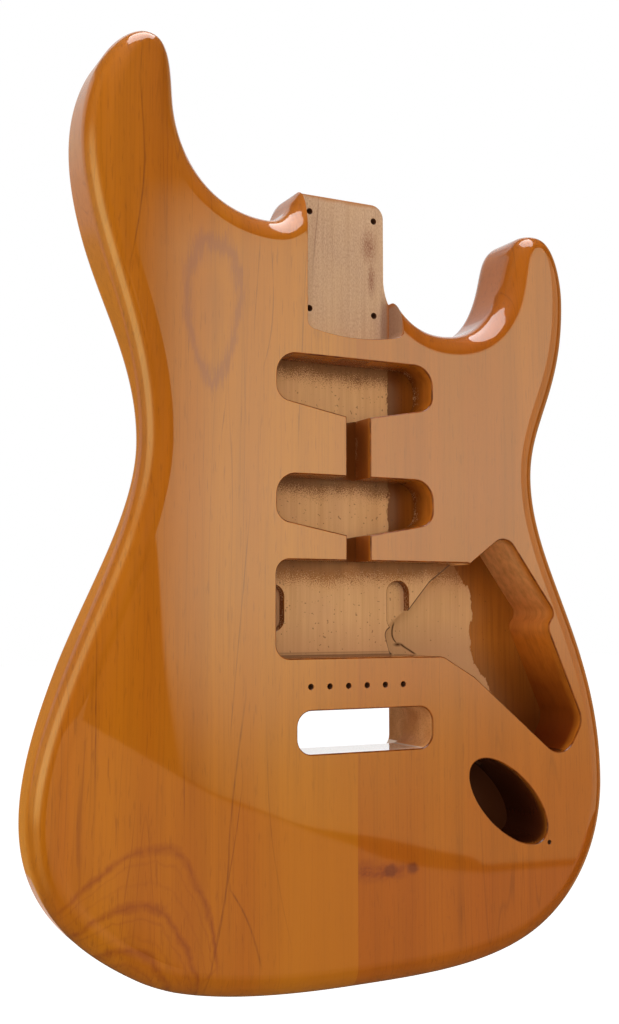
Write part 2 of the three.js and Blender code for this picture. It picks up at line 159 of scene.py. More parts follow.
class GuitarRoutingSettings(bpy.types.PropertyGroup):
    """Sizes of the pocket, cavities and holes."""

    lip_radius: length("Lip radius", "Rounding of a cavity's edge under the lacquer", 0.0008)
    pocket_width: length("Pocket width", "Width of the neck pocket", 0.0558)
    pocket_depth: length("Pocket depth", "Depth of the neck pocket", 0.0159)
    bolt_diameter: length("Bolt hole diameter", "Diameter of the neck bolt holes", 0.0032)
    pickup_depth: length("Pickup depth", "Depth of the pickup cavities", 0.019)
    channel_width: length("Channel width", "Width of the wire channel", 0.0134)
    channel_depth: length("Channel depth", "Depth of the wire channel", 0.0155)
    leg_slot_depth: length("Leg slot depth", "Depth of the bridge pickup's leg slots", 0.024)
    control_depth: length("Control cavity depth", "Depth of the control cavity", 0.036)
    control_corner: length("Control cavity corner", "Largest corner radius of the control cavity", 0.011)
    bridge_drop: length("Bridge drop", "Distance from the neck bolts' middle to the bridge screws", 0.2179)
    screw_pitch: length("Bridge screw pitch", "Spacing of the six bridge screw holes", 0.0105)
    screw_diameter: length("Bridge screw hole", "Diameter of the bridge screw holes", 0.0028)
    slot_length: length("Tremolo slot length", "Length of the slot through the body", 0.0768)
    slot_height: length("Tremolo slot height", "Height of the slot through the body", 0.021)
    spring_depth: length("Spring cavity depth", "Depth of the spring cavity in the back", 0.0159)
    jack_depth: length("Jack cavity depth", "Depth of the jack cavity", 0.037)


class GuitarLacquerSettings(bpy.types.PropertyGroup):
    """Colours and gloss of the finish."""

    bass_amber: paint("Bass board amber", "Lacquered wood of the bass board", (0.43, 0.113, 0.001, 1))
    treble_amber: paint("Treble board amber", "Lacquered wood of the treble board", (0.388, 0.087, 0.001, 1))
    grain_brown: paint("Grain", "Dark lines of the grain", (0.2, 0.045, 0.001, 1))
    raw_wood: paint("Raw wood", "Bare wood in the neck pocket", (0.56, 0.35, 0.225, 1))
    dusty_wood: paint("Dusty wood", "Matte overspray on the cavity floors", (0.64, 0.34, 0.155, 1))
    sealed_amber: paint("Sealed amber", "Glossy cavity walls near the front", (0.5, 0.148, 0.014, 1))
    # Pooled lacquer in the cavities, also used as painted shade that darkens their walls with depth.
    pooled_brown_and_shade: paint("Sealed brown", "Pooled lacquer deep in the cavities", (0.13, 0.03, 0.004, 1))
    coat_roughness: number(
        "Coat roughness", "Roughness of the clear coat", 0.035, min=0, max=1, subtype="FACTOR"
    )


class GuitarStageSettings(bpy.types.PropertyGroup):
    """Camera, floor and lights."""

    focal_length: number("Focal length", "Focal length of the camera in millimetres", 43.625)
    camera_yaw: number("Camera yaw", "How far the camera turns to the treble side", 0.46755, subtype="ANGLE")
    camera_pitch: number("Camera pitch", "How far the camera looks up", 0.07958, subtype="ANGLE")
    camera_place: bpy.props.FloatVectorProperty(
        name="Camera place", description="Where the camera stands", subtype="XYZ", unit="LENGTH",
        default=(-0.3022, -0.5608, -0.1809),
    )
    floor_drop: length("Floor drop", "How far the floor lies below the tail", 1.2)
    softbox_light: number("Softbox light", "Radiance of the large softbox at its brightest", 3.45)
    table_light: number("Table light", "Radiance of the table that the lower part mirrors", 1.0)
    sky_light: number("Sky light", "Strength of the even light from all round", 0.34)
    fill_light: number("Fill light", "Power of the broad lamp in front", 25, unit="POWER")
    top_light: number("Top light", "Power of the lamp overhead", 9, unit="POWER")
    side_light: number("Side light", "Power of the broad lamp on the bass side", 22, unit="POWER")
    white: paint("White", "Colour of the floor", (0.9, 0.9, 0.9, 1))


SETTINGS = {
    "guitar_blank": GuitarBlankSettings,
    "guitar_routing": GuitarRoutingSettings,
    "guitar_lacquer": GuitarLacquerSettings,
    "guitar_stage": GuitarStageSettings,
}


# Shapes

def place_of(shares, blank):
    """Shares of the width and length turned into metres: across times the width, and up
    times the length less the distance from the bolts to the tail."""
    shares = np.asarray(shares, float)
    return shares[..., :2] * (blank.body_width, blank.body_length) - (0, blank.tail_distance)


def outline_points(blank, heel_knots):
    """The edge of the body. Between two knots it is a cubic Bezier curve,
    (1-t)^3 a + 3 (1-t)^2 t b + 3 (1-t) t^2 c + t^3 d, whose inner points b and c lie along
    the knots' headings. Knots run from the tail up the bass side and down the treble side.
    The heel's curves always have the same number of points."""
    def in_metres(knots):
        return np.column_stack([place_of(knots, blank), knots[:, 2], knots[:, 3:] * blank.body_length])

    knots = np.vstack([in_metres(TAIL_KNOT), in_metres(BASS_KNOTS), heel_knots, in_metres(TREBLE_KNOTS)])
    heel = range(1 + len(BASS_KNOTS), len(BASS_KNOTS) + len(heel_knots))
    following = np.roll(knots, -1, axis=0)
    pieces = []
    for index, (knot, after) in enumerate(zip(knots, following)):
        span = np.hypot(*(after[:2] - knot[:2]))
        steps = 14 if index in heel else max(10, round(blank.columns * span / blank.body_width))
        t = (np.arange(steps) / steps)[:, None]
        ahead = knot[:2] + knot[4] * heading_vector(knot[2])
        behind = after[:2] - after[3] * heading_vector(after[2])
        near_knots = (1 - t) ** 3 * knot[:2] + 3 * (1 - t) ** 2 * t * ahead
        pieces.append(near_knots + 3 * (1 - t) * t ** 2 * behind + t ** 3 * after[:2])
    return np.vstack(pieces)[::-1]


def heading_vector(heading):
    """The unit vector of a heading in degrees from +X: (cos, sin)."""
    return np.array([math.cos(math.radians(heading)), math.sin(math.radians(heading))])


def inward_normals(points):
    """Normals of a closed path: the mean of the directions into and out of each point,
    turned a quarter to the left."""
    into = points - np.roll(points, 1, axis=0)
    onward = np.roll(points, -1, axis=0) - points
    along = into / np.linalg.norm(into, axis=1)[:, None] + onward / np.linalg.norm(onward, axis=1)[:, None]
    along /= np.linalg.norm(along, axis=1)[:, None]
    return np.column_stack([-along[:, 1], along[:, 0]])


def inward_along(path):
    """Unit normals of an open path, from its central differences."""
    along = np.gradient(path, axis=0)
    along /= np.linalg.norm(along, axis=1)[:, None]
    return np.column_stack([-along[:, 1], along[:, 0]])


def room_inside(points, inward, limit):
    """How far in each point may be carried: 0.88 of the radius of the largest circle that
    touches the edge there and stays inside, |d|^2 / (2 d.n) over all other points. It is
    then evened out along the edge, by the least and the mean over five points each way."""
    across = points[None, :, :] - points[:, None, :]
    depth = np.einsum("ijk,ik->ij", across, inward)
    square = (across ** 2).sum(axis=2)
    tiny, share = 1e-9, 0.88
    radii = np.where(depth > tiny, square / (2 * np.maximum(depth, tiny)), np.inf)
    room = np.minimum(limit, share * radii.min(axis=1))
    near = range(-5, 6)
    least = np.min([np.roll(room, shift) for shift in near], axis=0)
    return np.mean([np.roll(least, shift) for shift in near], axis=0)


def side_profile(points, inward, room, contour, radius, blank):
    """One side of the edge, from the flat face out to the wall, for all edge points at once.
    The contour falls as drop times share to a power while its place runs from the face to
    the rounded edge; then the edge turns through a quarter circle, radius (1 - cos a) down
    and round_reach sin a out. Gives places (points, rows, 2) and depths (points, rows)."""
    contour_inward, reach, drop, power = contour
    round_reach = (radius * room / (blank.edge_radius + blank.contour_land))[:, None, None]
    share = np.linspace(0, 1, 25)[None, :, None]
    face_reach = round_reach + (room[:, None, None] - round_reach) * (1 - share)
    slope = points[:, None] + inward[:, None] * face_reach
    slope = slope + contour_inward * reach[:, None, None] * (1 - share)
    slope_depth = drop[:, None] * share[..., 0] ** power
    angle = (np.arange(1, 17) / 16 * math.pi / 2)[None, :, None]
    turn = points[:, None] + inward[:, None] * round_reach * (1 - np.sin(angle))
    turn_depth = drop[:, None] + radius[:, None] * (1 - np.cos(angle[..., 0]))
    return np.concatenate([slope, turn], axis=1), np.concatenate([slope_depth, turn_depth], axis=1)


def forearm_contour(points, blank):
    """The forearm contour at each edge point: which way is inward from its line, how far
    the point lies past the line, the drop in proportion to that, and the drop's power."""
    top, foot = place_of(FOREARM_LINE, blank)
    down = (foot - top) / np.linalg.norm(foot - top)
    inward = np.array([-down[1], down[0]])
    reach = np.maximum(0, -(points - top) @ inward - blank.edge_radius)
    return inward, reach, blank.forearm_slope * reach, blank.forearm_power


def belly_cut(points, blank):
    """The same four values for the belly cut, which fades by cos^2(pi/2 share) along the
    bass edge, where the share is the distance from its middle over its half length."""
    along = (points[:, 1] - blank.belly_middle) / blank.belly_half
    inside = (points[:, 0] < 0) & (np.abs(along) < 1)
    fade = np.where(inside, np.cos(along * math.pi / 2) ** 2, 0)
    return np.array([1.0, 0.0]), blank.belly_reach * fade, blank.belly_depth * fade, blank.belly_power


def blank_surface(blank, front, back):
    """The blank: rings round the outline from the front face, over both rounded edges, to
    the back face. An edge's radius is at most 0.49 of the wood left between the contours.
    Just above the pocket's floor the wall steps from the front outline to the back one.
    Both flat faces are single polygons."""
    limit = blank.edge_radius + blank.contour_land
    front_points = outline_points(blank, FRONT_HEEL_KNOTS)
    front_inward = inward_normals(front_points)
    front_room = room_inside(front_points, front_inward, limit)
    points = outline_points(blank, HEEL_KNOTS)
    inward = inward_normals(points)
    room = room_inside(points, inward, limit)
    forearm, belly = forearm_contour(points, blank), belly_cut(points, blank)
    forearm_drop, belly_drop = forearm[2], belly[2]
    radius = np.minimum(blank.edge_radius, 0.49 * (blank.thickness - forearm_drop - belly_drop))
    front_places, front_depths = side_profile(front_points, front_inward, front_room, forearm, radius, blank)
    back_places, back_depths = side_profile(points, inward, room, belly, radius, blank)
    wall_top = forearm_drop + radius
    third = (blank.thickness - belly_drop - radius - wall_top) / 3
    ledge_drop, ledge_height = 0.0023, 0.0004
    ledge = wall_top + np.minimum(third, ledge_drop)
    ledges = np.column_stack([ledge, ledge + np.minimum(third, ledge_height)])
    wall = [front_points[:, None], points[:, None]]
    places = np.concatenate([front_places, *wall, back_places[:, ::-1]], axis=1)
    across = np.concatenate([front + front_depths, front + ledges, (back - back_depths)[:, ::-1]], axis=1)
    return np.stack([places[..., 0], across, places[..., 1]], axis=2)


def tube_faces(columns, rows):
    """Quads of a closed strip of columns, and one polygon for each end, all facing out."""
    column = np.arange(columns)[:, None]
    row = np.arange(rows - 1)[None, :]
    following = (column + 1) % columns
    here, there = column * rows + row, following * rows + row
    quads = np.stack([here, here + 1, there + 1, there], axis=2)
    near = np.arange(columns) * rows
    return quads.reshape(-1, 4), near, near[::-1] + rows - 1


def mesh_from(name, grid, finishes=None):
    """A closed mesh from a grid (columns, rows, 3) whose first and last rows are capped.
    finishes gives a material slot to each strip between rows, then to the two caps."""
    columns, rows = grid.shape[:2]
    quads, near, far = tube_faces(columns, rows)
    mesh = bpy.data.meshes.new(name)
    mesh.from_pydata(grid.reshape(-1, 3).tolist(), [], quads.tolist() + [near.tolist(), far.tolist()])
    if finishes is not None:
        slots = np.concatenate([np.tile(finishes[: rows - 1], columns), finishes[rows - 1 :]])
        mesh.polygons.foreach_set("material_index", slots.astype(np.int32))
    mesh.update()
    return mesh


def rounded_plan(corners, steps=10):
    """A closed path whose corners are arcs. An arc of radius r starts r / tan(h) from its
    corner, where h is half the angle there, about a centre r / sin(h) along the bisector."""
    corners = np.asarray(corners, float)
    place, radius = corners[:, :2], corners[:, 2]
    to_before = np.roll(place, 1, axis=0) - place
    to_after = np.roll(place, -1, axis=0) - place
    to_before /= np.linalg.norm(to_before, axis=1)[:, None]
    to_after /= np.linalg.norm(to_after, axis=1)[:, None]
    half = np.arccos(np.clip((to_before * to_after).sum(axis=1), -1, 1)) / 2
    middle = to_before + to_after
    middle /= np.linalg.norm(middle, axis=1)[:, None]
    centre = place + middle * (radius / np.sin(half))[:, None]
    start = place + to_before * (radius / np.tan(half))[:, None] - centre
    end = place + to_after * (radius / np.tan(half))[:, None] - centre
    first = np.arctan2(start[:, 1], start[:, 0])
    sweep = (np.arctan2(end[:, 1], end[:, 0]) - first + math.pi) % (2 * math.pi) - math.pi
    angle = first[:, None] + sweep[:, None] * np.linspace(0, 1, steps)[None, :]
    arcs = centre[:, None] + radius[:, None, None] * np.stack([np.cos(angle), np.sin(angle)], axis=2)
    return arcs.reshape(-1, 2)


def box_plan(left, right, foot, top, top_radius, foot_radius):
    """A rectangle with rounded corners."""
    return rounded_plan([
        (left, top, top_radius), (left, foot, foot_radius),
        (right, foot, foot_radius), (right, top, top_radius),
    ])


def oval_plan(centre, half_length, half_width, tilt=0.0, count=96):
    """An ellipse: half_length cos t along its tilted axis and half_width sin t across it."""
    t = np.arange(count) / count * 2 * math.pi
    along = half_length * np.cos(t)[:, None] * heading_vector(tilt)
    return centre + along + half_width * np.sin(t)[:, None] * heading_vector(tilt + 90)


def routed(name, plan, near, far, lip=0.0, sink=0.003, floor=FLOOR, wall=WALL):
    """What a router takes out: a plan carried from the far depth to sink beyond the near face.
    At the near face it widens by lip (1 - cos a) while it rises by lip sin a, which leaves
    a rounded edge on the wood. near < far cuts from the front, near > far from the back."""
    side = 1.0 if far > near else -1.0
    area = (plan[:, 0] * np.roll(plan[:, 1], -1) - plan[:, 1] * np.roll(plan[:, 0], -1)).sum()
    plan = plan if area > 0 else plan[::-1]
    outward = -inward_normals(plan)
    steps, clear = 8, 0.00002
    if lip:
        angle = np.linspace(0, math.pi / 2, steps)
        offsets = np.concatenate([[0.0], lip * (1 - np.cos(angle)), [lip]])
        depths = np.concatenate([[abs(far - near)], lip - lip * np.sin(angle) - clear, [-sink]])
        finishes = np.array([wall] + [EDGE] * steps + [floor, LACQUER])
    else:
        offsets = np.array([0.0, 0.0])
        depths = np.array([abs(far - near), -sink])
        finishes = np.array([wall, floor, LACQUER])
    places = plan[:, None] + outward[:, None] * offsets[None, :, None]
    across = np.broadcast_to(near + side * depths, places.shape[:2])
    grid = np.stack([places[..., 0], across, places[..., 1]], axis=2)
    return mesh_from(name, grid if side < 0 else grid[::-1], finishes)


def drilled(name, start, end, diameter, count=40):
    """A straight hole between two places: circles of the diameter across the line."""
    start, end = np.array(start, float), np.array(end, float)
    along = (end - start) / np.linalg.norm(end - start)
    helper = np.array([1.0, 0.0, 0.0]) if abs(along[0]) < 0.9 else np.array([0.0, 0.0, 1.0])
    side = np.cross(along, helper)
    side /= np.linalg.norm(side)
    other = np.cross(along, side)
    t = np.arange(count) / count * 2 * math.pi
    ring = diameter / 2 * (np.cos(t)[:, None] * side + np.sin(t)[:, None] * other)
    grid = np.stack([start + ring, end + ring], axis=1)
    return mesh_from(name, grid[::-1], np.array([HOLE, HOLE, HOLE]))


def pocket_plan(routing):
    """The neck pocket: straight sides, open at the heel, and a tail wall bowed towards the
    tail between two eased corners. Bow and corners are quadratic curves,
    (1-t)^2 a + 2 (1-t) t b + t^2 c."""
    half = routing.pocket_width / 2
    reach, drop, sag, corner = 0.0469, 0.0425, 0.0026, 0.004
    bow = half - corner
    bow_z = -drop + sag
    corner_z = bow_z + 2 * sag * corner / bow

    def curve(a, b, c, steps):
        t = (np.arange(steps) / steps)[:, None]
        return (1 - t) ** 2 * np.array(a) + 2 * (1 - t) * t * np.array(b) + t ** 2 * np.array(c)

    return np.vstack([
        [(half, reach), (-half, reach)],
        curve((-half, corner_z + corner), (-half, corner_z), (-bow, bow_z), 8),
        curve((-bow, bow_z), (0, -drop - sag), (bow, bow_z), 24),
        curve((bow, bow_z), (half, corner_z), (half, corner_z + corner), 8),
        [(half, corner_z + corner)],
    ])


def pickup_plan(drop):
    """A single pickup's cavity: rounded ends, and a foot that runs to a point in the middle."""
    half, height, point = 0.0447, 0.0224, 0.0083
    end_radius, foot_radius, point_radius = 0.0106, 0.0078, 0.0015
    top = 0.0113 - drop
    foot = top - height
    corners = [
        (-half, top, end_radius), (-half, foot, foot_radius), (0, foot - point, point_radius),
        (half, foot, foot_radius), (half, top, end_radius),
    ]
    return rounded_plan(corners, 14)


def pickup_cuts(routing, front):
    """The neck and middle pickup cavities, the wire channel that joins them, and the bridge
    pickup cavity with its two leg slots, which run on below its floor."""
    lip, floor = routing.lip_radius, front + routing.pickup_depth
    neck_drop, middle_drop = 0.0648, 0.1248
    cuts = [
        routed("neck_pickup", pickup_plan(neck_drop), front, floor, lip),
        routed("middle_pickup", pickup_plan(middle_drop), front, floor, lip),
    ]
    bridge_middle = -0.1799
    across, half = 0.0008, routing.channel_width / 2
    channel = box_plan(across - half, across + half, bridge_middle, -neck_drop, 0.001, 0.001)
    cuts.append(routed("wire_channel", channel, front, front + routing.channel_depth, lip))
    side, half = 0.0449, 0.0241
    top, foot = bridge_middle + half, bridge_middle - half
    corners = [(-side, top, 0.007), (-side, foot, 0.007), (side, foot, 0.002), (side + half, top, 0.002)]
    cuts.append(routed("bridge_pickup", rounded_plan(corners), front, floor, lip))
    half, radius, foot = 0.0066, 0.0062, bridge_middle - 0.0112
    for name, across, rise in (("bass_leg_slot", -0.0386, 0.0122), ("treble_leg_slot", 0.0346, 0.0146)):
        plan = box_plan(across - half, across + half, foot, bridge_middle + rise, radius, radius)
        cuts.append(routed(name, plan, floor, front + routing.leg_slot_depth, lip * 0.6, sink=0.002))
    return cuts


def step_ribbon(corners):
    """A band along the control cavity's edge where it steps down from the bridge cavity:
    from its ninth corner on to just past the first, 0.4 mm inside and 0.8 mm outside."""
    arcs = rounded_plan(corners).reshape(len(corners), -1, 2)
    edge = np.vstack([arcs[8:].reshape(-1, 2), corners[:1, :2] + (0.0002, 0.0006)])
    inward = inward_along(edge)
    return np.vstack([edge + inward * 0.0004, (edge - inward * 0.0008)[::-1]])


def control_cuts(routing, front, corners):
    """The control cavity, and the shallow groove along the step down into it."""
    cavity, floor = rounded_plan(corners), front + routing.control_depth
    groove, ledge = step_ribbon(corners), front + routing.pickup_depth
    return [
        routed("control_cavity", cavity, front, floor, routing.lip_radius),
        routed("control_step", groove, ledge, ledge + 0.0006, sink=0.0008, floor=HOLE, wall=HOLE),
    ]


def tremolo_cuts(routing, front, back):
    """The slot through the body, and the room for the block and the springs in the back."""
    lip, radius, bridge = routing.lip_radius, 0.0076, -routing.bridge_drop
    middle, below_bridge = 0.0051, 0.0222
    room_below, room_above = 0.0046, 0.009
    springs_left, springs_right, springs_rise = -0.03, 0.024, 0.092
    left, right = middle - routing.slot_length / 2, middle + routing.slot_length / 2
    slot_middle = bridge - below_bridge
    foot = slot_middle - routing.slot_height / 2
    top = foot + routing.slot_height
    slot = box_plan(left, right, foot, top, radius, radius)
    room = box_plan(left, right, foot - room_below, top + room_above, radius, radius)
    springs = box_plan(springs_left, springs_right, slot_middle, bridge + springs_rise, 0.009, 0.001)
    return [
        routed("tremolo_slot", slot, front, back + 0.003, lip),
        routed("block_room", room, back, back - routing.spring_depth, lip),
        routed("spring_cavity", springs, back, back - routing.spring_depth, lip),
    ]


def jack_cuts(routing, front, jack):
    """The slanted oval jack cavity and the plate's pilot hole on its long axis."""
    tilt, half_length, half_width = -42, 0.0305, 0.0145
    cavity = oval_plan(jack, half_length, half_width, tilt)
    pilot_place, pilot_radius = jack + 0.0346 * heading_vector(tilt), 0.0012
    pilot = oval_plan(pilot_place, pilot_radius, pilot_radius, count=24)
    return [
        routed("jack_cavity", cavity, front, front + routing.jack_depth, routing.lip_radius),
        routed("jack_screw", pilot, front, front + 0.014, 0.0002, floor=HOLE, wall=HOLE),
    ]


def screw_cuts(routing, front, back):
    """The six pilot holes of the bridge and the four bolt holes of the neck."""
    cuts = []
    drilled_out = {"floor": HOLE, "wall": HOLE}
    radius = routing.screw_diameter / 2
    for index in range(6):
        place = np.array([(index - 2.5) * routing.screw_pitch, -routing.bridge_drop])
        plan = oval_plan(place, radius, radius, count=28)
        cuts.append(routed(f"bridge_screw_{index}", plan, front, front + 0.02, 0.0003, **drilled_out))
    radius, bolt_across, bolt_up = routing.bolt_diameter / 2, 0.019, 0.0255
    for index, (side, end) in enumerate(((-1, -1), (-1, 1), (1, -1), (1, 1))):
        plan = oval_plan(np.array([side * bolt_across, end * bolt_up]), radius, radius, count=28)
        cuts.append(routed(f"bolt_{index}", plan, 0.0, back + 0.003, 0.0002, sink=0.002, **drilled_out))
    return cuts


def wire_cuts(routing, front, back, jack, inner):
    """The wire holes inside the wood: from the jack cavity up to the control cavity, and from
    the spring cavity across to the control cavity's inner corner."""
    jack_hole, ground_hole = 0.008, 0.004
    control_floor = front + routing.control_depth
    wire = control_floor - 0.005
    ground = (back - routing.spring_depth + control_floor) / 2
    springs_side, up = 0.021, inner[1] + 0.011
    return [
        drilled("jack_wire", (jack[0], wire, jack[1]), (jack[0], wire, -routing.bridge_drop), jack_hole),
        drilled("ground_wire", (springs_side, ground, up), (inner[0] + 0.003, ground, up), ground_hole),
    ]


def cutters(blank, routing):
    """Every cut, as closed meshes with the finish that each leaves."""
    front = -routing.pocket_depth
    back = blank.thickness - routing.pocket_depth
    jack = place_of(JACK_PLACE, blank)
    radii = CONTROL_CORNERS[:, 2] * routing.control_corner
    control = np.column_stack([place_of(CONTROL_CORNERS, blank), radii])
    pocket_lip = routing.lip_radius * 0.4
    return [
        routed("neck_pocket", pocket_plan(routing), front, 0.0, pocket_lip, floor=POCKET, wall=POCKET),
        *pickup_cuts(routing, front),
        *control_cuts(routing, front, control),
        *tremolo_cuts(routing, front, back),
        *jack_cuts(routing, front, jack),
        *screw_cuts(routing, front, back),
        *wire_cuts(routing, front, back, jack, control[0]),
    ]


def cut_with(piece, mesh, materials, operation="DIFFERENCE"):
    """Adds one exact cut to the piece's modifiers. The cutter has the piece's list of
    finishes, so each new face keeps the finish of the cutter's face that made it."""
    for material in materials:
        mesh.materials.append(material)
    cutter = bpy.data.objects.new(mesh.name, mesh)
    bpy.context.scene.collection.objects.link(cutter)
    modifier = piece.modifiers.new(mesh.name, "BOOLEAN")
    modifier.object = cutter
    modifier.operation = operation
    modifier.solver = "MANIFOLD"
    return cutter


def shade_evenly(piece):
    """Smooth shading over the rounded edges, sharp where faces meet at over 32 degrees, with
    normals that follow the large faces."""
    piece.data.shade_smooth()
    piece.data.set_sharp_from_angle(angle=math.radians(32))
    weighted = piece.modifiers.new("even_normals", "WEIGHTED_NORMAL")
    weighted.mode = "FACE_AREA"
    weighted.weight = 100
    weighted.keep_sharp = True


def board_piece(context, name, node, side):
    """One board: what the cuts leave of the blank on its side of the glue line, -1 for the
    bass side and 1 for the treble side. The cuts are applied, so the mesh is final."""
    blank, routing = context.scene.guitar_blank, context.scene.guitar_routing
    materials = board_materials(context, side < 0)
    front = -routing.pocket_depth
    back = blank.thickness - routing.pocket_depth
    piece = bpy.data.objects.new(name, mesh_from(name, blank_surface(blank, front, back)))
    for material in materials:
        piece.data.materials.append(material)
    context.scene.collection.objects.link(piece)
    far = blank.glue_line + side * blank.body_width
    left, right = min(blank.glue_line, far), max(blank.glue_line, far)
    foot, top, depth = -0.5, 0.3, 0.1
    plan = np.array([(left, foot), (right, foot), (right, top), (left, top)])
    half = routed("half", plan, -depth, depth, floor=GLUED, wall=GLUED)
    helpers = [cut_with(piece, half, materials, "INTERSECT")]
    for mesh in cutters(blank, routing):
        places = np.empty(len(mesh.vertices) * 3)
        mesh.vertices.foreach_get("co", places)
        if places[::3].min() < right and places[::3].max() > left:
            helpers.append(cut_with(piece, mesh, materials))
    context.view_layer.update()
    graph = context.evaluated_depsgraph_get()
    mesh = bpy.data.meshes.new_from_object(piece.evaluated_get(graph))
    if len(mesh.polygons) < 1000:
        raise RuntimeError(f"{name}: the cuts left too little of the board")
    mesh.name = name
    piece.modifiers.clear()
    piece.data = mesh
    for helper in helpers:
        bpy.data.objects.remove(helper)
    shade_evenly(piece)
    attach(piece, "root")
    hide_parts(node)


# Marks on the wood, in metres: across from the centre line, and up from the neck bolts' middle

# Dark lines of the bass board's figure: places from one end to the other, the line's
# width and, for the last, how soon it fades beyond its ends.
BASS_STREAKS = (
    (
        [(-0.1159, 0.0895), (-0.1167, 0.0723), (-0.1148, 0.0443), (-0.1143, 0.0294), (-0.1204, -0.0179)],
        0.0006,
    ),
    ([(-0.061, -0.222), (-0.0686, -0.2808), (-0.0704, -0.3089), (-0.0798, -0.3539)], 0.0007),
    ([(-0.0625, -0.262), (-0.0665, -0.29), (-0.0735, -0.325), (-0.0775, -0.342)], 0.0004),
    ([(-0.1328, -0.1909), (-0.1331, -0.2593)], 0.0006),
    ([(-0.092, -0.2475), (-0.0917, -0.279)], 0.0004),
    ([(-0.0499, -0.2388), (-0.0478, -0.2824), (-0.0447, -0.3042), (-0.0365, -0.3409)], 0.0004),
    ([(-0.0592, -0.1338), (-0.0691, -0.2415)], 0.0004),
    ([(-0.0544, -0.0024), (-0.0573, -0.043)], 0.0004),
    ([(-0.0723, -0.0821), (-0.0743, -0.0971)], 0.0004),
    ([(-0.0958, -0.0839), (-0.0957, -0.0985)], 0.0004),
    ([(-0.048, -0.0035), (-0.048, -0.0421), (-0.0521, -0.0616)], 0.0004),
    ([(-0.029, -0.0049), (-0.0332, -0.0945)], 0.0004),
    ([(-0.0685, -0.3108), (-0.0606, -0.324), (-0.0556, -0.3369), (-0.0526, -0.3478)], 0.0008, 0.004),
)

# Growth arcs at the tail: height of each arc's crown, width and strength. The arch falls
# away from its crown as the pairs of (across, fall) say.
TAIL_ARCS = (
    (-0.2884, 0.0036, 1.2), (-0.2948, 0.0012, 0.4), (-0.303, 0.0014, 0.3),
    (-0.3135, 0.0032, 1.1), (-0.3195, 0.0012, 0.45), (-0.3275, 0.0014, 0.3),
    (-0.334, 0.003, 1.0), (-0.3405, 0.0014, 0.5), (-0.3475, 0.002, 0.6),
)
ARCH_FALL = (
    (-0.045, 0.045), (-0.035, 0.027), (-0.0278, 0.0165), (-0.0198, 0.0078), (-0.011, 0.002), (0.0, 0.0),
    (0.0106, 0.0042), (0.0179, 0.0125), (0.0262, 0.0225), (0.0352, 0.036), (0.0436, 0.0555), (0.05, 0.072),
)

# Where the dust ends on the deep floor of the control cavity: (up, across) places.
DEEP_BORDER = (
    (-0.26, 0.101), (-0.24, 0.103), (-0.2234, 0.1035), (-0.2104, 0.0945), (-0.1993, 0.0913),
    (-0.1887, 0.0915), (-0.1804, 0.0936), (-0.172, 0.0917), (-0.1543, 0.0799), (-0.145, 0.072),
)

# Heights and sides that part one cavity from the next: the top of the bridge cavity, the
# tremolo slot's upper limit and lower wall, the top of the jack cavity, and the treble limits
# of the slot and of the bridge cavity.
BRIDGE_TOP, SLOT_TOP, SLOT_WALL, JACK_TOP = -0.15, -0.2285, -0.2502, -0.256
SLOT_SIDE, CONTROL_SIDE = 0.046, 0.056


# Materials

class Nodes:
    """Shader nodes of a material or a world, added one call at a time."""

    def __init__(self, owner, shader, output="ShaderNodeOutputMaterial"):
        owner.use_nodes = True
        self.nodes = owner.node_tree.nodes
        self.links = owner.node_tree.links
        self.nodes.clear()
        self.shader = self.add(shader)
        self.put(self.add(output).inputs["Surface"], self.shader.outputs[0])

    def add(self, kind, **inputs):
        """A new node with the named inputs set or linked."""
        node = self.nodes.new(kind)
        for key, value in inputs.items():
            self.put(node.inputs[key.replace("_", " ")], value)
        return node

    def put(self, socket, value):
        """Links another node's output to the socket, or sets its constant."""
        if isinstance(value, bpy.types.NodeSocket):
            self.links.new(value, socket)
        elif value is not None:
            socket.default_value = value

    def math(self, operation, a, b=None, c=None, clamp=False):
        node = self.nodes.new("ShaderNodeMath")
        node.operation = operation
        node.use_clamp = clamp
        for socket, value in zip(node.inputs, (a, b, c)):
            self.put(socket, value)
        return node.outputs[0]

    # Short names for the operations that the materials are written in

    def times(self, a, b, clamp=False):
        return self.math("MULTIPLY", a, b, clamp=clamp)

    def plus(self, a, b):
        return self.math("ADD", a, b)

    def minus(self, a, b, clamp=False):
        return self.math("SUBTRACT", a, b, clamp=clamp)

    def linear(self, value, slope, start, clamp=False):
        return self.math("MULTIPLY_ADD", value, slope, start, clamp=clamp)

    def share_of(self, value, low, high, clamp=False):
        """How far a value has come from low to high, as (v - low) / (high - low)."""
        return self.linear(value, 1 / (high - low), -low / (high - low), clamp)

    def most(self, a, b):
        return self.math("MAXIMUM", a, b)

    def least(self, a, b):
        return self.math("MINIMUM", a, b)

    def absolute(self, value):
        return self.math("ABSOLUTE", value)

    def seen(self):
        """1 for a ray from the camera, a mirror or a clear surface, else 0."""
        rays = self.add("ShaderNodeLightPath").outputs
        mirrored = self.most(rays["Is Camera Ray"], rays["Is Glossy Ray"])
        return self.most(mirrored, rays["Is Transmission Ray"])


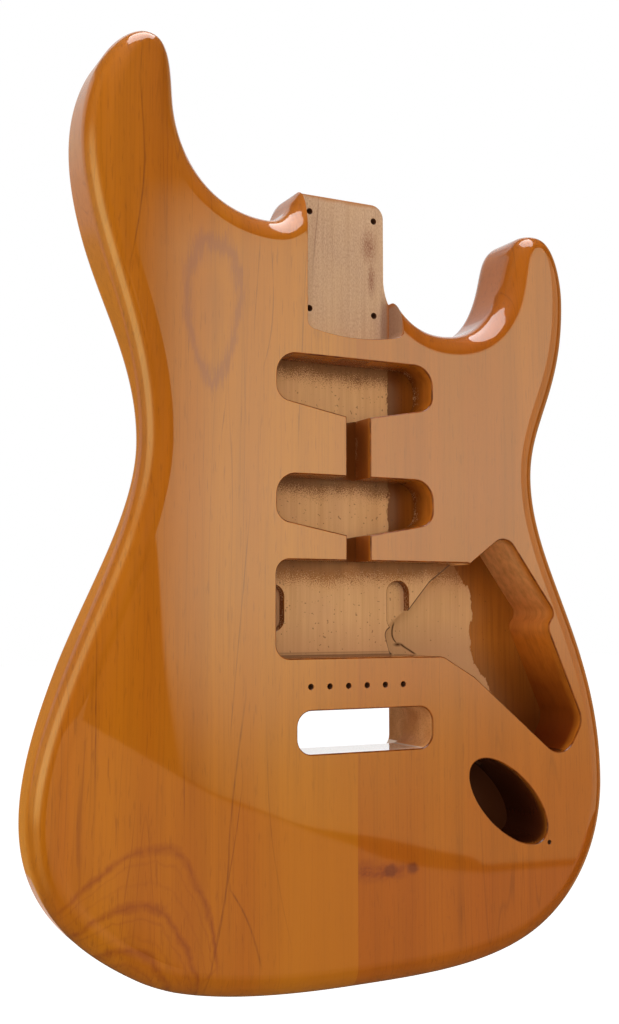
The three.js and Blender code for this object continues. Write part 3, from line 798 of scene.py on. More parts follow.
class Graph(Nodes):
    """A material's nodes, with the object's own coordinates as place, x, y and z."""

    def __init__(self, name, shader="ShaderNodeBsdfPrincipled"):
        self.material = bpy.data.materials.new(name)
        super().__init__(self.material, shader)
        self.place = self.add("ShaderNodeTexCoord").outputs["Object"]
        self.x, self.y, self.z = self.add("ShaderNodeSeparateXYZ", Vector=self.place).outputs

    def under(self, value, limit):
        """1 where the value is under the limit, else 0."""
        return self.math("LESS_THAN", value, limit)

    def over(self, value, limit):
        """1 where the value is over the limit, else 0."""
        return self.math("GREATER_THAN", value, limit)

    def scaled(self, scale, place=None):
        """The object's coordinates, or another place, times a scale for each axis."""
        node = self.add("ShaderNodeMapping", Vector=place or self.place)
        node.inputs["Scale"].default_value = scale
        return node.outputs[0]

    def noise(self, scale, detail=2.0, roughness=0.5, place=None):
        """Noise whose lumps are about 1 / scale metres long on each axis."""
        place = self.scaled(scale, place)
        node = self.add("ShaderNodeTexNoise", Vector=place, Scale=1.0, Detail=detail, Roughness=roughness)
        return node.outputs["Fac"]

    def ramp(self, value, *stops):
        """Piecewise straight map of a value: pairs of (value, result), at most 32. Each
        result is a number or a colour of three."""
        low, high = stops[0][0], stops[-1][0]
        node = self.nodes.new("ShaderNodeValToRGB")
        elements = node.color_ramp.elements
        while len(elements) < len(stops):
            elements.new(0.5)
        for element, (at, result) in zip(elements, stops):
            element.position = (at - low) / (high - low)
            element.color = (*result, 1) if isinstance(result, tuple) else (result, result, result, 1)
        self.put(node.inputs[0], self.share_of(value, low, high))
        return node.outputs[0]

    def mix(self, share, a, b):
        """The colour that lies the share of the way from a to b."""
        node = self.nodes.new("ShaderNodeMix")
        node.data_type = "RGBA"
        self.put(node.inputs[0], share)
        self.put(node.inputs[6], a)
        self.put(node.inputs[7], b)
        return node.outputs[2]

    def band(self, value, middle, width):
        """A soft line: 1 in the middle, falling to 0 a width away, by 1 - |v - m| / w."""
        away = self.absolute(self.minus(value, middle))
        return self.linear(away, -1 / width, 1.0, clamp=True)

    def curve(self, value, points):
        """A smooth curve through (value, result) pairs, both in metres."""
        values = np.array([p[0] for p in points])
        results = np.array([p[1] for p in points])
        low, high = values.min(), values.max()
        node = self.nodes.new("ShaderNodeFloatCurve")
        curve = node.mapping.curves[0]
        while len(curve.points) < len(points):
            curve.points.new(0.5, 0.5)
        order = np.argsort(values)
        for point, index in zip(curve.points, order):
            point.location = ((values[index] - low) / (high - low), results[index] + 0.5)
        node.mapping.update()
        self.put(node.inputs["Value"], self.share_of(value, low, high, clamp=True))
        return self.minus(node.outputs[0], 0.5)

    def streak(self, points, width, fade=0.012):
        """A narrow line up the board through (across, up) places, 1 in its middle and fading
        to 0 about its ends."""
        ups = [p[1] for p in points]
        across = self.curve(self.z, [(p[1], p[0]) for p in points])
        line = self.band(self.minus(self.x, across), 0.0, width)
        foot = self.ramp(self.z, (min(ups) - fade, 0), (min(ups) + fade, 1))
        top = self.ramp(self.z, (max(ups) - fade, 1), (max(ups) + fade, 0))
        return self.times(line, self.least(foot, top))

    def spot(self, across, up, half_across, half_up):
        """1 in the middle of an oval, 0 at its edge."""
        u = self.linear(self.x, 1 / half_across, -across / half_across)
        v = self.linear(self.z, 1 / half_up, -up / half_up)
        return self.minus(1.0, self.distance(u, v), clamp=True)

    def distance(self, u, v):
        """sqrt(u^2 + v^2)"""
        return self.math("SQRT", self.plus(self.times(u, u), self.times(v, v)))

    def greatest(self, values):
        """The greatest of several values."""
        result = values[0]
        for value in values[1:]:
            result = self.most(result, value)
        return result

    def finish(self, colour, roughness, specular, relief=None, strength=0.0, depth=0.0):
        """Sets the shader's colour, roughness and bump, and gives the material."""
        inputs = self.shader.inputs
        self.put(inputs["Base Color"], colour)
        self.put(inputs["Roughness"], roughness)
        inputs["Specular IOR Level"].default_value = specular
        if relief is not None:
            bump = self.add("ShaderNodeBump", Height=relief, Strength=strength, Distance=depth)
            self.put(inputs["Normal"], bump.outputs[0])
        return self.material


def growth_arcs(g, across, colour):
    """Arched growth lines at the tail of the bass board. The place on the arch is the
    height plus the fall there, made ragged by noise, and each arc is a soft line on it."""
    burnt = (0.235, 0.042, 0.003, 1)
    ragged = g.linear(g.noise((70, 70, 90), 4.0, 0.65), 0.009, -0.0045)
    off_crown = g.plus(g.linear(g.z, -0.28, 0.023), across)
    arch = g.plus(g.plus(g.z, g.ramp(off_crown, *ARCH_FALL)), ragged)
    arcs = [g.times(g.band(arch, up, width), share) for up, width, share in TAIL_ARCS]
    peak = g.linear(g.absolute(g.plus(across, 0.075)), 0.8, g.z)
    peak_ends = g.ramp(g.absolute(g.plus(across, 0.071)), (0.009, 0.8), (0.013, 0.0))
    arcs.append(g.times(g.band(peak, -0.345, 0.0016), peak_ends))
    sides = g.ramp(off_crown, (-0.042, 0.0), (-0.03, 1.0), (0.04, 1.0), (0.047, 0.0))
    near = g.times(sides, g.ramp(g.z, (-0.345, 1.0), (-0.27, 0.6)))
    rough_edge = g.ramp(g.noise((420, 420, 160)), (0.3, 0.5), (0.6, 1.0))
    share = g.times(g.times(g.greatest(arcs), near, clamp=True), g.times(rough_edge, 0.78))
    return g.mix(share, colour, burnt)


def drop_ring(g, across, colour):
    """The drop-shaped ring below the long horn: an oval that widens upwards, where the
    distance sqrt((x / half width)^2 + (z / half height)^2) is about 1, with a ragged edge."""
    middle, height, half_height = -0.0793, -0.0365, 0.0345
    up = g.plus(g.z, -height)
    half_width = g.linear(up, 0.11, 0.0131)
    sideways = g.math("DIVIDE", g.plus(across, -middle), half_width)
    reach = g.distance(sideways, g.math("DIVIDE", up, half_height))
    wavy = g.linear(g.noise((150, 150, 60), 4.0, 0.65), 0.5, -0.25)
    fringe = g.linear(g.noise((900, 500, 60), 2.0, 0.6), 0.5, -0.25)
    edge = g.plus(reach, g.plus(wavy, fringe))
    stops = ((0.3, 0.22), (0.62, 0.05), (0.82, 0.3), (0.95, 1.0), (1.05, 0.9), (1.2, 0.15), (1.35, 0.0))
    ring = g.times(g.ramp(edge, *stops), g.ramp(reach, (1.3, 1.0), (1.5, 0.0)))
    return g.mix(g.times(ring, 0.62), colour, (0.24, 0.05, 0.022, 1))


def knots_and_smear(g, colour):
    """The two knots on the treble board beside the glue line, and the smear over them."""
    knots = g.greatest([g.spot(0.0181, -0.31, 0.0048, 0.0045), g.spot(0.0311, -0.3099, 0.0046, 0.0038)])
    knots = g.plus(knots, g.linear(g.noise((400, 400, 400), 3.0), 0.7, -0.35))
    smear = g.greatest([g.spot(0.0155, -0.3105, 0.022, 0.0055), g.spot(0.004, -0.309, 0.01, 0.007)])
    smeared = g.ramp(g.noise((190, 190, 300), 3.0, 0.6), (0.35, 0.3), (0.6, 1.3))
    colour = g.mix(g.times(g.times(smear, smeared), 0.8, clamp=True), colour, (0.2, 0.03, 0.004, 1))
    return g.mix(g.ramp(knots, (0.1, 0.0), (0.55, 0.7)), colour, (0.13, 0.02, 0.006, 1))


def lacquered_wood(name, lacquer, bass):
    """Gloss amber lacquer over straight-grained wood: patches of gold and dusk, then rings,
    broken growth lines, fibres and pores in brown, then the board's own figure."""
    g = Graph(name)
    amber, brown = tuple(lacquer.bass_amber), tuple(lacquer.grain_brown)
    across = g.plus(g.x, g.linear(g.noise((14, 14, 3)), 0.009, -0.0045))
    grained = g.add("ShaderNodeCombineXYZ", X=across, Y=g.y, Z=g.z).outputs[0]
    fibres = g.noise((900, 300, 14), 3.0, 0.6, grained)
    rings = g.noise((110, 40, 3.5), 3.0, 0.55, grained)
    pores = g.noise((1000, 500, 85), 2.0, 0.5, grained)
    growth = g.noise((42, 16, 1.1), 2.0, 0.45, grained)
    patch = g.noise((28, 28, 9), 3.0, 0.6)
    gold, dusk = (0.46, 0.138, 0.0016, 1), (0.37, 0.085, 0.0007, 1)
    if not bass:
        gold, dusk = (0.41, 0.104, 0.0013, 1), (0.34, 0.071, 0.0007, 1)
        near_seam = g.ramp(g.x, (0.006, 1.0), (0.045, 0.0))
        near_seam = g.times(near_seam, g.ramp(g.z, (-0.3, 0.3), (-0.25, 1.0)))
        amber = g.mix(near_seam, tuple(lacquer.treble_amber), amber)
    tone = g.mix(g.ramp(g.noise((16, 16, 3.5)), (0.3, 0.0), (0.7, 1.0)), amber, gold)
    tone = g.mix(g.ramp(growth, (0.4, 0.0), (0.62, 0.55)), tone, dusk)
    colour = g.mix(g.ramp(rings, (0.45, 0.0), (0.8, 0.3)), tone, brown)
    growth_lines = ((0.44, 0.0035), (0.52, 0.004), (0.6, 0.0035))
    lines = g.greatest([g.band(growth, at, width) for at, width in growth_lines])
    broken = g.ramp(patch, (0.46, 0.0), (0.58, 0.5))
    colour = g.mix(g.times(lines, broken), colour, brown)
    colour = g.mix(g.ramp(fibres, (0.5, 0.0), (0.8, 0.34)), colour, brown)
    colour = g.mix(g.ramp(pores, (0.6, 0.0), (0.7, 0.36)), colour, brown)
    if bass:
        streaks = g.greatest([g.streak(*streak) for streak in BASS_STREAKS])
        colour = g.mix(g.times(streaks, g.ramp(pores, (0.3, 0.35), (0.6, 0.9))), colour, brown)
        colour = drop_ring(g, across, growth_arcs(g, across, colour))
        golden = g.ramp(across, (-0.06, 0.0), (-0.035, 0.65))
        colour = g.mix(g.times(golden, g.ramp(g.z, (-0.3, 1.0), (-0.235, 0.0))), colour, gold)
    else:
        colour = knots_and_smear(g, colour)
    g.shader.inputs["Coat Weight"].default_value = 1.0
    g.shader.inputs["Coat Roughness"].default_value = lacquer.coat_roughness
    g.shader.inputs["Coat IOR"].default_value = 1.5
    return g.finish(colour, g.linear(fibres, 0.1, 0.4), 0.1, fibres, 0.05, 0.0002)


def toned(colour, red, green, blue):
    """A colour with each channel times its own share."""
    return (colour[0] * red, colour[1] * green, colour[2] * blue, 1)


def dusted_area(g, lower, shallow, jack, ragged, speckle, cloud):
    """1 where the spray gun left dust on a floor: below the upper edge of its cavity, left
    of a ragged border, and not on the ledges or in the jack cavity."""
    pickup_top, pickup_spacing, bridge_top, pickup_border = -0.0535, 0.06, -0.1578, 0.0285
    below_pickup = g.math("MODULO", g.linear(g.z, -1.0, pickup_top), pickup_spacing)
    below_bridge = g.linear(g.z, -1.0, bridge_top)
    below = g.plus(below_pickup, g.times(lower, g.minus(below_bridge, below_pickup)))
    dots = g.linear(speckle, 0.03, g.linear(cloud, 0.014, -0.028))
    under_top = g.ramp(g.plus(below, dots), (-0.0005, 0.2), (0.0018, 0.9), (0.0045, 1.0))
    pickup_side = g.minus(pickup_border, g.x)
    deep_side = g.minus(g.curve(g.z, DEEP_BORDER), g.x)
    side = g.plus(pickup_side, g.times(lower, g.minus(deep_side, pickup_side)))
    left_of = g.ramp(g.plus(side, g.linear(ragged, 0.007, -0.0035)), (-0.0002, 0.0), (0.0002, 1.0))
    return g.times(g.times(under_top, left_of), g.minus(1.0, g.most(shallow, jack)))


def cracks_and_painted_shade(g):
    """Cracks beside the treble leg slot, and painted shade along the foot of the bridge pickup cavity's
    lower wall.
    """
    upper = [(0.0421, -0.1875), (0.041, -0.1922), (0.0416, -0.1955), (0.0437, -0.1982)]
    lower = [(0.0462, -0.1985), (0.0478, -0.1998), (0.0523, -0.2024), (0.0554, -0.2043)]
    cracks = [g.streak(upper, 0.0008, 0.001), g.streak(lower, 0.0016, 0.0006)]
    cracks.append(g.spot(0.0445, -0.199, 0.0035, 0.0014))
    # Painted shade: dark bands on the bridge cavity's floor where it meets the lower wall.
    foot = g.most(g.times(g.band(g.z, -0.2021, 0.0007), 0.35), g.times(g.band(g.z, -0.2035, 0.001), 0.7))
    pickup_width = g.ramp(g.x, (-0.041, 0.0), (-0.037, 1.0), (0.03, 1.0), (0.032, 0.0))
    foot = g.times(foot, g.times(pickup_width, g.under(g.y, 0.01)))
    return g.most(g.greatest(cracks), foot)


def cavity_floor(name, lacquer):
    """Cavity floors: matte, dusty overspray with a speckled upper edge, and glossy amber to
    brown lacquer where the gun reached, with a ragged border between them. A dark line of
    painted shade runs along the foot of the bridge cavity's lower wall, and the jack cavity's
    floor is painted nearly black as shade."""
    g = Graph(name)
    dusty, amber, brown = tuple(lacquer.dusty_wood), tuple(lacquer.sealed_amber), tuple(lacquer.pooled_brown_and_shade)
    grain = g.noise((500, 200, 14), 3.0, 0.6)
    speckle = g.noise((1900, 1900, 1900), 2.0, 0.6)
    ragged = g.noise((260, 260, 120), 3.0, 0.65)
    cloud = g.noise((45, 45, 45), 3.0, 0.6)
    lower = g.under(g.z, BRIDGE_TOP)
    shallow = g.under(g.absolute(g.plus(g.y, 0.0004)), 0.0008)
    jack = g.under(g.z, JACK_TOP)
    matte = dusted_area(g, lower, shallow, jack, ragged, speckle, cloud)
    dust = g.mix(g.ramp(grain, (0.4, 0.0), (0.75, 0.45)), dusty, toned(dusty, 0.66, 0.58, 0.5))
    dust = g.mix(g.ramp(cloud, (0.45, 0.0), (0.75, 0.4)), dust, toned(dusty, 0.9, 0.86, 1.0))
    # The dust is darker towards the bridge cavity's lower wall and its treble side.
    darker_low = g.ramp(g.plus(g.z, g.times(cloud, 0.012)), (-0.196, 0.75), (-0.179, 0.0))
    darker_low = g.times(darker_low, g.ramp(g.x, (0.0, 0.6), (0.06, 1.0)))
    dust = g.mix(g.times(darker_low, lower), dust, toned(dusty, 0.76, 0.7, 0.76))
    deep_pool = g.ramp(g.z, (-0.243, 1.0), (-0.215, 0.7), (-0.197, 0.38), (-0.175, 0.5), (-0.155, 0.7))
    pickup_pool = g.minus(g.ramp(g.x, (0.034, 0.92), (0.042, 0.66)), lower)
    pooled = g.most(g.times(deep_pool, lower), g.most(shallow, pickup_pool))
    gloss = g.mix(pooled, amber, brown)
    # Painted shade: the jack cavity's deep floor is darkened nearly to black.
    gloss = g.mix(g.times(jack, 0.8), gloss, (0.05, 0.014, 0.006, 1))
    gloss = g.mix(g.ramp(grain, (0.45, 0.0), (0.8, 0.4)), gloss, toned(brown, 0.5, 0.5, 0.5))
    colour = g.mix(matte, gloss, dust)
    specks = g.ramp(g.noise((800, 800, 800), 0.0), (0.79, 0.0), (0.81, 0.5))
    # Cracks, specks and the painted shade at the bridge cavity's foot, mixed towards near black.
    marks = g.most(g.times(cracks_and_painted_shade(g), 1.15, clamp=True), specks)
    colour = g.mix(marks, colour, (0.07, 0.018, 0.006, 1))
    relief = g.plus(grain, g.times(matte, 1.5))
    return g.finish(colour, g.linear(matte, 0.4, 0.28), 0.15, relief, 0.3, 0.0003)


def control_wall_with_painted_light(g, grain, brown):
    """The control cavity's wall: amber, painted pale towards the top as painted light where the lamps reach
    it, and dark towards the foot.
    """
    tone = g.mix(g.ramp(g.z, (-0.197, 0.0), (-0.15, 1.0)), (0.6, 0.165, 0.014, 1), (0.88, 0.42, 0.14, 1))
    tone = g.mix(g.ramp(g.z, (-0.25, 1.0), (-0.222, 0.7), (-0.197, 0.0)), tone, (0.18, 0.03, 0.003, 1))
    return g.mix(g.ramp(grain, (0.4, 0.0), (0.75, 0.35)), tone, brown)


def cavity_wall(name, lacquer):
    """Cavity walls: glossy amber near the front that darkens with depth, partly pooled lacquer
    and partly painted shade, streaked by the grain and dusted at the foot. The control
    cavity's wall is painted paler towards the top as painted light. The tremolo slot is dull
    brown with a pale lower wall, the wire channel brown and the jack cavity painted nearly
    black as shade."""
    g = Graph(name)
    dusty, amber, brown = tuple(lacquer.dusty_wood), tuple(lacquer.sealed_amber), tuple(lacquer.pooled_brown_and_shade)
    grain = g.noise((260, 260, 12), 3.0, 0.6)
    speckle = g.noise((1400, 1400, 1400), 1.0)
    cloud = g.noise((70, 70, 70), 3.0, 0.6)
    # Darker with depth: partly pooled lacquer, partly painted shade deep in the recess.
    depth = g.plus(g.y, g.linear(cloud, 0.012, -0.006))
    colour = g.mix(g.ramp(depth, (-0.013, 0.0), (0.003, 0.8), (0.018, 1.0)), amber, brown)
    colour = g.mix(g.ramp(grain, (0.45, 0.0), (0.75, 0.45)), colour, brown)
    control = g.over(g.x, CONTROL_SIDE)
    channel = g.under(g.absolute(g.minus(g.x, 0.0008)), 0.0085)
    channel = g.times(channel, g.ramp(g.y, (-0.0155, 0.0), (-0.013, 0.8)))
    colour = g.mix(channel, colour, (0.24, 0.056, 0.009, 1))
    # Below the lip the control cavity's wall takes its tones, with painted light towards the top.
    below_lip = g.times(control, g.ramp(g.y, (-0.0145, 0.0), (-0.009, 1.0)))
    colour = g.mix(below_lip, colour, control_wall_with_painted_light(g, grain, brown))
    dusted = g.ramp(g.times(speckle, cloud), (0.28, 0.0), (0.36, 0.75))
    dusted = g.times(dusted, g.ramp(g.y, (-0.004, 0.0), (0.001, 1.0)))
    colour = g.mix(g.times(dusted, g.minus(1.0, control)), colour, dusty)
    slot = g.times(g.times(g.over(g.z, JACK_TOP), g.under(g.z, SLOT_TOP)), g.under(g.x, SLOT_SIDE))
    dull = g.mix(g.ramp(cloud, (0.4, 0.0), (0.7, 1.0)), (0.5, 0.19, 0.045, 1), (0.7, 0.33, 0.11, 1))
    dull = g.mix(g.ramp(speckle, (0.5, 0.0), (0.7, 0.5)), dull, (0.32, 0.09, 0.018, 1))
    colour = g.mix(slot, colour, dull)
    # Painted shade: the jack cavity's walls go nearly black, more so with depth.
    jack = g.times(g.under(g.z, JACK_TOP), g.ramp(g.y, (-0.0155, 0.4), (-0.011, 0.85), (-0.002, 0.97)))
    colour = g.mix(jack, colour, (0.055, 0.012, 0.004, 1))
    foot = g.times(slot, g.under(g.z, SLOT_WALL))
    colour = g.mix(foot, colour, (1.0, 0.88, 0.76, 1))
    g.put(g.shader.inputs["Coat Weight"], foot)
    return g.finish(colour, g.linear(g.minus(slot, foot), 0.5, 0.14), 0.4, grain, 0.25, 0.0004)


def pocket_border(g, cloud):
    """Where amber lacquer crept over the pocket's border: round the floor, and along the
    upper rim of the walls."""
    creep = g.plus(g.absolute(g.x), g.linear(cloud, 0.003, -0.0015))
    heel = g.plus(g.z, g.times(cloud, 0.004))
    side_border = g.ramp(creep, (0.0262, 0.0), (0.0276, 1.0))
    heel_border = g.ramp(heel, (0.0338, 0.0), (0.0358, 1.0))
    border = g.most(side_border, heel_border)
    depth = g.plus(g.y, g.times(cloud, 0.002))
    lip_end = g.plus(g.z, g.times(cloud, 0.003))
    upper_rim = g.ramp(depth, (-0.0135, 1.0), (-0.0128, 0.0))
    rim = g.most(upper_rim, g.ramp(lip_end, (-0.0195, 0.0), (-0.0185, 1.0)))
    on_wall = g.under(g.y, -0.0006)
    return g.plus(border, g.times(on_wall, g.minus(rim, border)))


def pocket_wood(name, lacquer):
    """Bare wood of the neck pocket: speckled pinkish tan with fine grain lines, a reddish
    stain on the treble side and amber lacquer that crept over its border."""
    g = Graph(name)
    shadow = (0.2, 0.08, 0.04, 1)
    grain = g.noise((420, 200, 9), 4.0, 0.65)
    mottle = g.noise((1500, 1500, 700), 2.0, 0.7)
    cloud = g.noise((50, 50, 22), 3.0, 0.6)
    colour = g.mix(g.ramp(grain, (0.42, 0.0), (0.72, 0.5)), tuple(lacquer.raw_wood), (0.36, 0.19, 0.1, 1))
    colour = g.mix(g.ramp(mottle, (0.42, 0.0), (0.66, 0.75)), colour, (0.36, 0.18, 0.1, 1))
    colour = g.mix(g.ramp(cloud, (0.4, 0.0), (0.7, 0.45)), colour, (0.6, 0.36, 0.2, 1))
    stain = g.most(g.spot(0.0162, 0.0113, 0.006, 0.012), g.spot(0.0175, -0.006, 0.003, 0.012))
    stain = g.times(stain, g.ramp(mottle, (0.35, 0.5), (0.65, 1.6)))
    colour = g.mix(g.times(stain, 0.75), colour, (0.22, 0.07, 0.035, 1))
    line = g.streak([(-0.0136, 0.0339), (-0.0152, 0.016), (-0.0171, -0.0026)], 0.0006)
    colour = g.mix(g.times(line, 0.6), colour, shadow)
    # Painted shade in the corner by the treble wall towards the pocket's tail end, partly a darker finish
    # there too.
    corner = g.times(g.ramp(g.x, (0.0225, 0.0), (0.0245, 1.0)), g.ramp(g.z, (-0.019, 1.0), (-0.012, 0.0)))
    colour = g.mix(g.times(corner, 0.5), colour, shadow)
    colour = g.mix(g.times(pocket_border(g, cloud), 0.75), colour, (0.42, 0.13, 0.02, 1))
    relief = g.plus(grain, g.times(mottle, 0.5))
    return g.finish(colour, g.linear(grain, 0.2, 0.55), 0.3, relief, 0.35, 0.0003)


def pooled_edge(name):
    """The lip of a cavity, where the lacquer thinned to a dark amber line."""
    g = Graph(name)
    cloud = g.noise((120, 120, 120), 3.0, 0.6)
    colour = g.mix(g.ramp(cloud, (0.4, 0.0), (0.65, 1.0)), (0.26, 0.06, 0.005, 1), (0.1, 0.018, 0.003, 1))
    return g.finish(colour, 0.12, 0.5)


def drilled_wood(name):
    """Dark, rough wood inside the drilled holes."""
    g = Graph(name)
    grain = g.noise((700, 200, 700), 2.0, 0.6)
    return g.finish(g.mix(grain, (0.09, 0.03, 0.012, 1), (0.16, 0.06, 0.02, 1)), 0.7, 0.5)


def board_materials(context, bass):
    """The finishes of one board, in the order of their slots."""
    lacquer = context.scene.guitar_lacquer
    side = "bass" if bass else "treble"
    pocket = pocket_wood(f"{side}_pocket_wood", lacquer)
    return [
        lacquered_wood(f"{side}_lacquered_wood", lacquer, bass),
        cavity_floor(f"{side}_cavity_floor", lacquer),
        cavity_wall(f"{side}_cavity_wall", lacquer),
        pocket,
        drilled_wood(f"{side}_drilled_wood"),
        pocket,
        pooled_edge(f"{side}_cavity_edge"),
    ]


# Studio

# Plane of the softbox and the table in front of the body, and of the flag behind them
FRONT = -1.516
FLAG_FRONT = FRONT - 0.6

# Outlines on that plane, as (across, up) places: the lower edge of the softbox and the
# upper edge of the table are what the rounded edge of the body mirrors.
BOX_EDGE = (
    (0.385, 0.65), (1.45, 0.75), (1.45, -0.685), (1.11, -0.673), (1.082, -0.655), (1.012, -0.639),
    (0.945, -0.62), (0.88, -0.603), (0.816, -0.59), (0.751, -0.577), (0.697, -0.561), (0.647, -0.54),
    (0.547, -0.5), (0.485, -0.466), (0.385, -0.45),
)
TABLE_EDGE = (
    (-1.666, -0.081), (-0.746, -0.254), (-0.558, -0.308), (-0.39, -0.355), (-0.093, -0.411), (0.144, -0.442),
    (0.352, -0.458), (0.485, -0.472), (0.547, -0.506), (0.593, -0.525), (0.647, -0.544), (0.697, -0.565),
    (0.751, -0.587), (0.816, -0.61), (0.88, -0.639), (0.945, -0.659), (1.012, -0.673), (1.11, -0.688),
    (1.363, -0.696), (1.9, -0.71), (1.9, -1.55), (-1.666, -1.55),
)

# Outlines of the level cards overhead, as places in the ground plan
CEILING_EDGE = ((-3, -2.6), (3, -2.6), (3, 1.2), (-0.6, 1.2), (-0.6, 2.6), (-3, 2.6))
OVERHEAD_EDGE = (
    (-0.6, -0.12), (-0.6, -0.55), (-0.36, -0.8), (-0.15, -1.1),
    (0.1, -1.36), (0.5, -1.36), (0.5, 0.37), (-0.36, 0.37),
)

# Glow of the cards: shares of their light at places across, and colours at heights
BOX_ACROSS = ((0.385, 0.0), (0.42, 0.28), (0.475, 0.68), (0.53, 0.9), (0.6, 1.0), (1.35, 0.9), (1.45, 0.0))
BOX_UP = (
    (-0.66, (0.42, 0.3, 0.13)), (-0.55, (0.48, 0.39, 0.17)), (-0.48, (0.56, 0.5, 0.25)),
    (-0.41, (0.7, 0.64, 0.38)), (-0.34, (0.8, 0.77, 0.47)), (-0.2, (0.93, 0.97, 0.65)),
    (-0.05, (0.97, 1.0, 0.7)), (0.2, (0.89, 0.94, 0.64)), (0.42, (0.82, 0.86, 0.57)),
    (0.5, (0.45, 0.46, 0.3)), (0.55, (0.0, 0.0, 0.0)),
)
TABLE_UP = ((-1.2, (0.5, 0.28, 0.15)), (-0.7, (0.9, 0.52, 0.33)), (-0.45, (1.1, 0.66, 0.33)))
STRIP_ALONG = ((-1.1, 0.0), (-0.75, 0.15), (-0.45, 1.0), (0.05, 1.0), (0.3, 0.3), (1.2, 0.15))
STRIP_UP = (
    (-1.5, (0.1, 0.07, 0.03)), (-0.6, (0.25, 0.2, 0.08)), (-0.42, (0.8, 0.66, 0.26)),
    (-0.2, (1.0, 0.88, 0.38)), (0.1, (0.86, 0.75, 0.33)), (0.45, (0.62, 0.52, 0.22)),
    (0.75, (0.12, 0.07, 0.03)), (2.0, (0.12, 0.07, 0.03)),
)
BACK_UP = (
    (-1.5, (0.8, 0.36, 0.07)), (0.95, (0.86, 0.38, 0.07)), (1.1, (0.9, 0.42, 0.12)),
    (1.2, (0.92, 0.52, 0.34)), (1.42, (0.92, 0.6, 0.43)), (1.5, (0.95, 0.66, 0.5)),
    (1.62, (0.88, 0.7, 0.53)), (1.72, (0.85, 0.65, 0.54)), (2.6, (0.85, 0.65, 0.54)),
)
BACK_END_UP = ((-2.0, (0.88, 0.56, 0.42)), (1.3, (0.8, 0.64, 0.55)), (2.4, (0.72, 0.6, 0.56)))


def card_material(name, strength, shares=None, up=None, along="x", tilt=0.0, lean=(0.0, 0.0)):
    """A card's glow. shares holds (place, share) stops along x or y, which move on by
    lean's second value for each metre below its first. up holds (place, colour) stops
    along z, which climb with x by tilt."""
    g = Graph(name, "ShaderNodeEmission")
    inputs = g.shader.inputs
    inputs["Color"].default_value = (1, 1, 1, 1)
    inputs["Strength"].default_value = strength
    if up:
        g.put(inputs["Color"], g.ramp(g.linear(g.x, -tilt, g.z), *up))
    if shares:
        below = g.least(g.minus(g.z, lean[0]), 0.0)
        place = g.linear(below, lean[1], getattr(g, along))
        g.put(inputs["Strength"], g.times(g.ramp(place, *shares), strength))
    return g.material


def card(name, corners, material, lights=False):
    """A flat studio card, a light's face or a dark flag, seen only in reflections."""
    mesh = bpy.data.meshes.new(name)
    mesh.from_pydata([tuple(corner) for corner in corners], [], [tuple(range(len(corners)))])
    mesh.materials.append(material)
    piece = bpy.data.objects.new(name, mesh)
    bpy.context.scene.collection.objects.link(piece)
    piece.visible_camera = False
    piece.visible_shadow = False
    piece.visible_transmission = False
    piece.visible_diffuse = lights


def upright(start, end, low, high):
    """Corners of an upright card between two places of the ground plan."""
    return [(*start, low), (*end, low), (*end, high), (*start, high)]


def even(colour, reach):
    """Stops of one colour, from reach below the neck bolts to reach above them."""
    return ((-reach, colour), (reach, colour))


def front_cards(settings):
    """The large softbox, and the table under it that the lower part mirrors."""
    box_light, lean = settings.softbox_light, (-0.25, 0.35)
    box = card_material("softbox_face", box_light, BOX_ACROSS, BOX_UP, tilt=0.1, lean=lean)
    table = card_material("table_face", settings.table_light, up=TABLE_UP)
    card("softbox", [(x, FRONT, z) for x, z in BOX_EDGE], box, lights=True)
    card("table_top", [(x, FRONT, z) for x, z in TABLE_EDGE], table)


def flags():
    """Dark flags in front and at the sides, and dim ones above and below."""
    dark = card_material("flag_face", 0.0)
    dim = card_material("dim_face", 1.0, up=even((0.16, 0.1, 0.05), 3.0))
    bass_corner, treble_side = (-1.4, FLAG_FRONT), 2.4
    card("front_flag", upright(bass_corner, (4, FLAG_FRONT), -3, 3), dark)
    card("bass_flag", upright((-1.6, -1.1), bass_corner, -3, 3), dark)
    card("treble_flag", upright((treble_side, FLAG_FRONT), (treble_side, 0.1), -3, 3), dark)
    card("ceiling_flag", [(x, y, 1.7) for x, y in CEILING_EDGE], dim)
    card("under_flag", [(-3, -2.6, -1.5), (-3, 6, -1.5), (3, 6, -1.5), (3, -2.6, -1.5)], dim)


def side_cards():
    """The bright strip on the bass side with the warm cards behind the body, the veil that
    joins the softbox to the treble side, and the card overhead."""
    strip = card_material("strip_face", 4.0, STRIP_ALONG, STRIP_UP, "y")
    card("bass_strip", upright((-1.6, -1.1), (-1.6, 1.2), -1.5, 2), strip)
    back = card_material("bass_back_face", 1.0, up=BACK_UP, tilt=1.0)
    back_end = card_material("bass_back_end_face", 1.0, up=BACK_END_UP)
    card("bass_back", upright((-1.6, 1.2), (-0.35, 2.6), -1.5, 2), back)
    card("bass_back_end", upright((-0.35, 2.6), (0.7, 3.3), -1.5, 2.4), back_end)
    veil = card_material("side_softbox_face", 1.3, up=even((1.0, 0.84, 0.48), 1.0))
    treble = card_material("treble_face", 1.0, up=even((0.5, 0.3, 0.13), 2.0))
    veil_corners = [(1.45, FRONT, -0.685), (2.2, -0.5, -0.75), (2.2, -0.5, 0.75), (1.45, FRONT, 0.75)]
    card("side_softbox", veil_corners, veil)
    card("treble_card", upright((2.4, 0.1), (2.4, 2.0), -1.5, 2), treble)
    card("overhead_card", [(x, y, 1.2) for x, y in OVERHEAD_EDGE], card_material("overhead_face", 6.0))


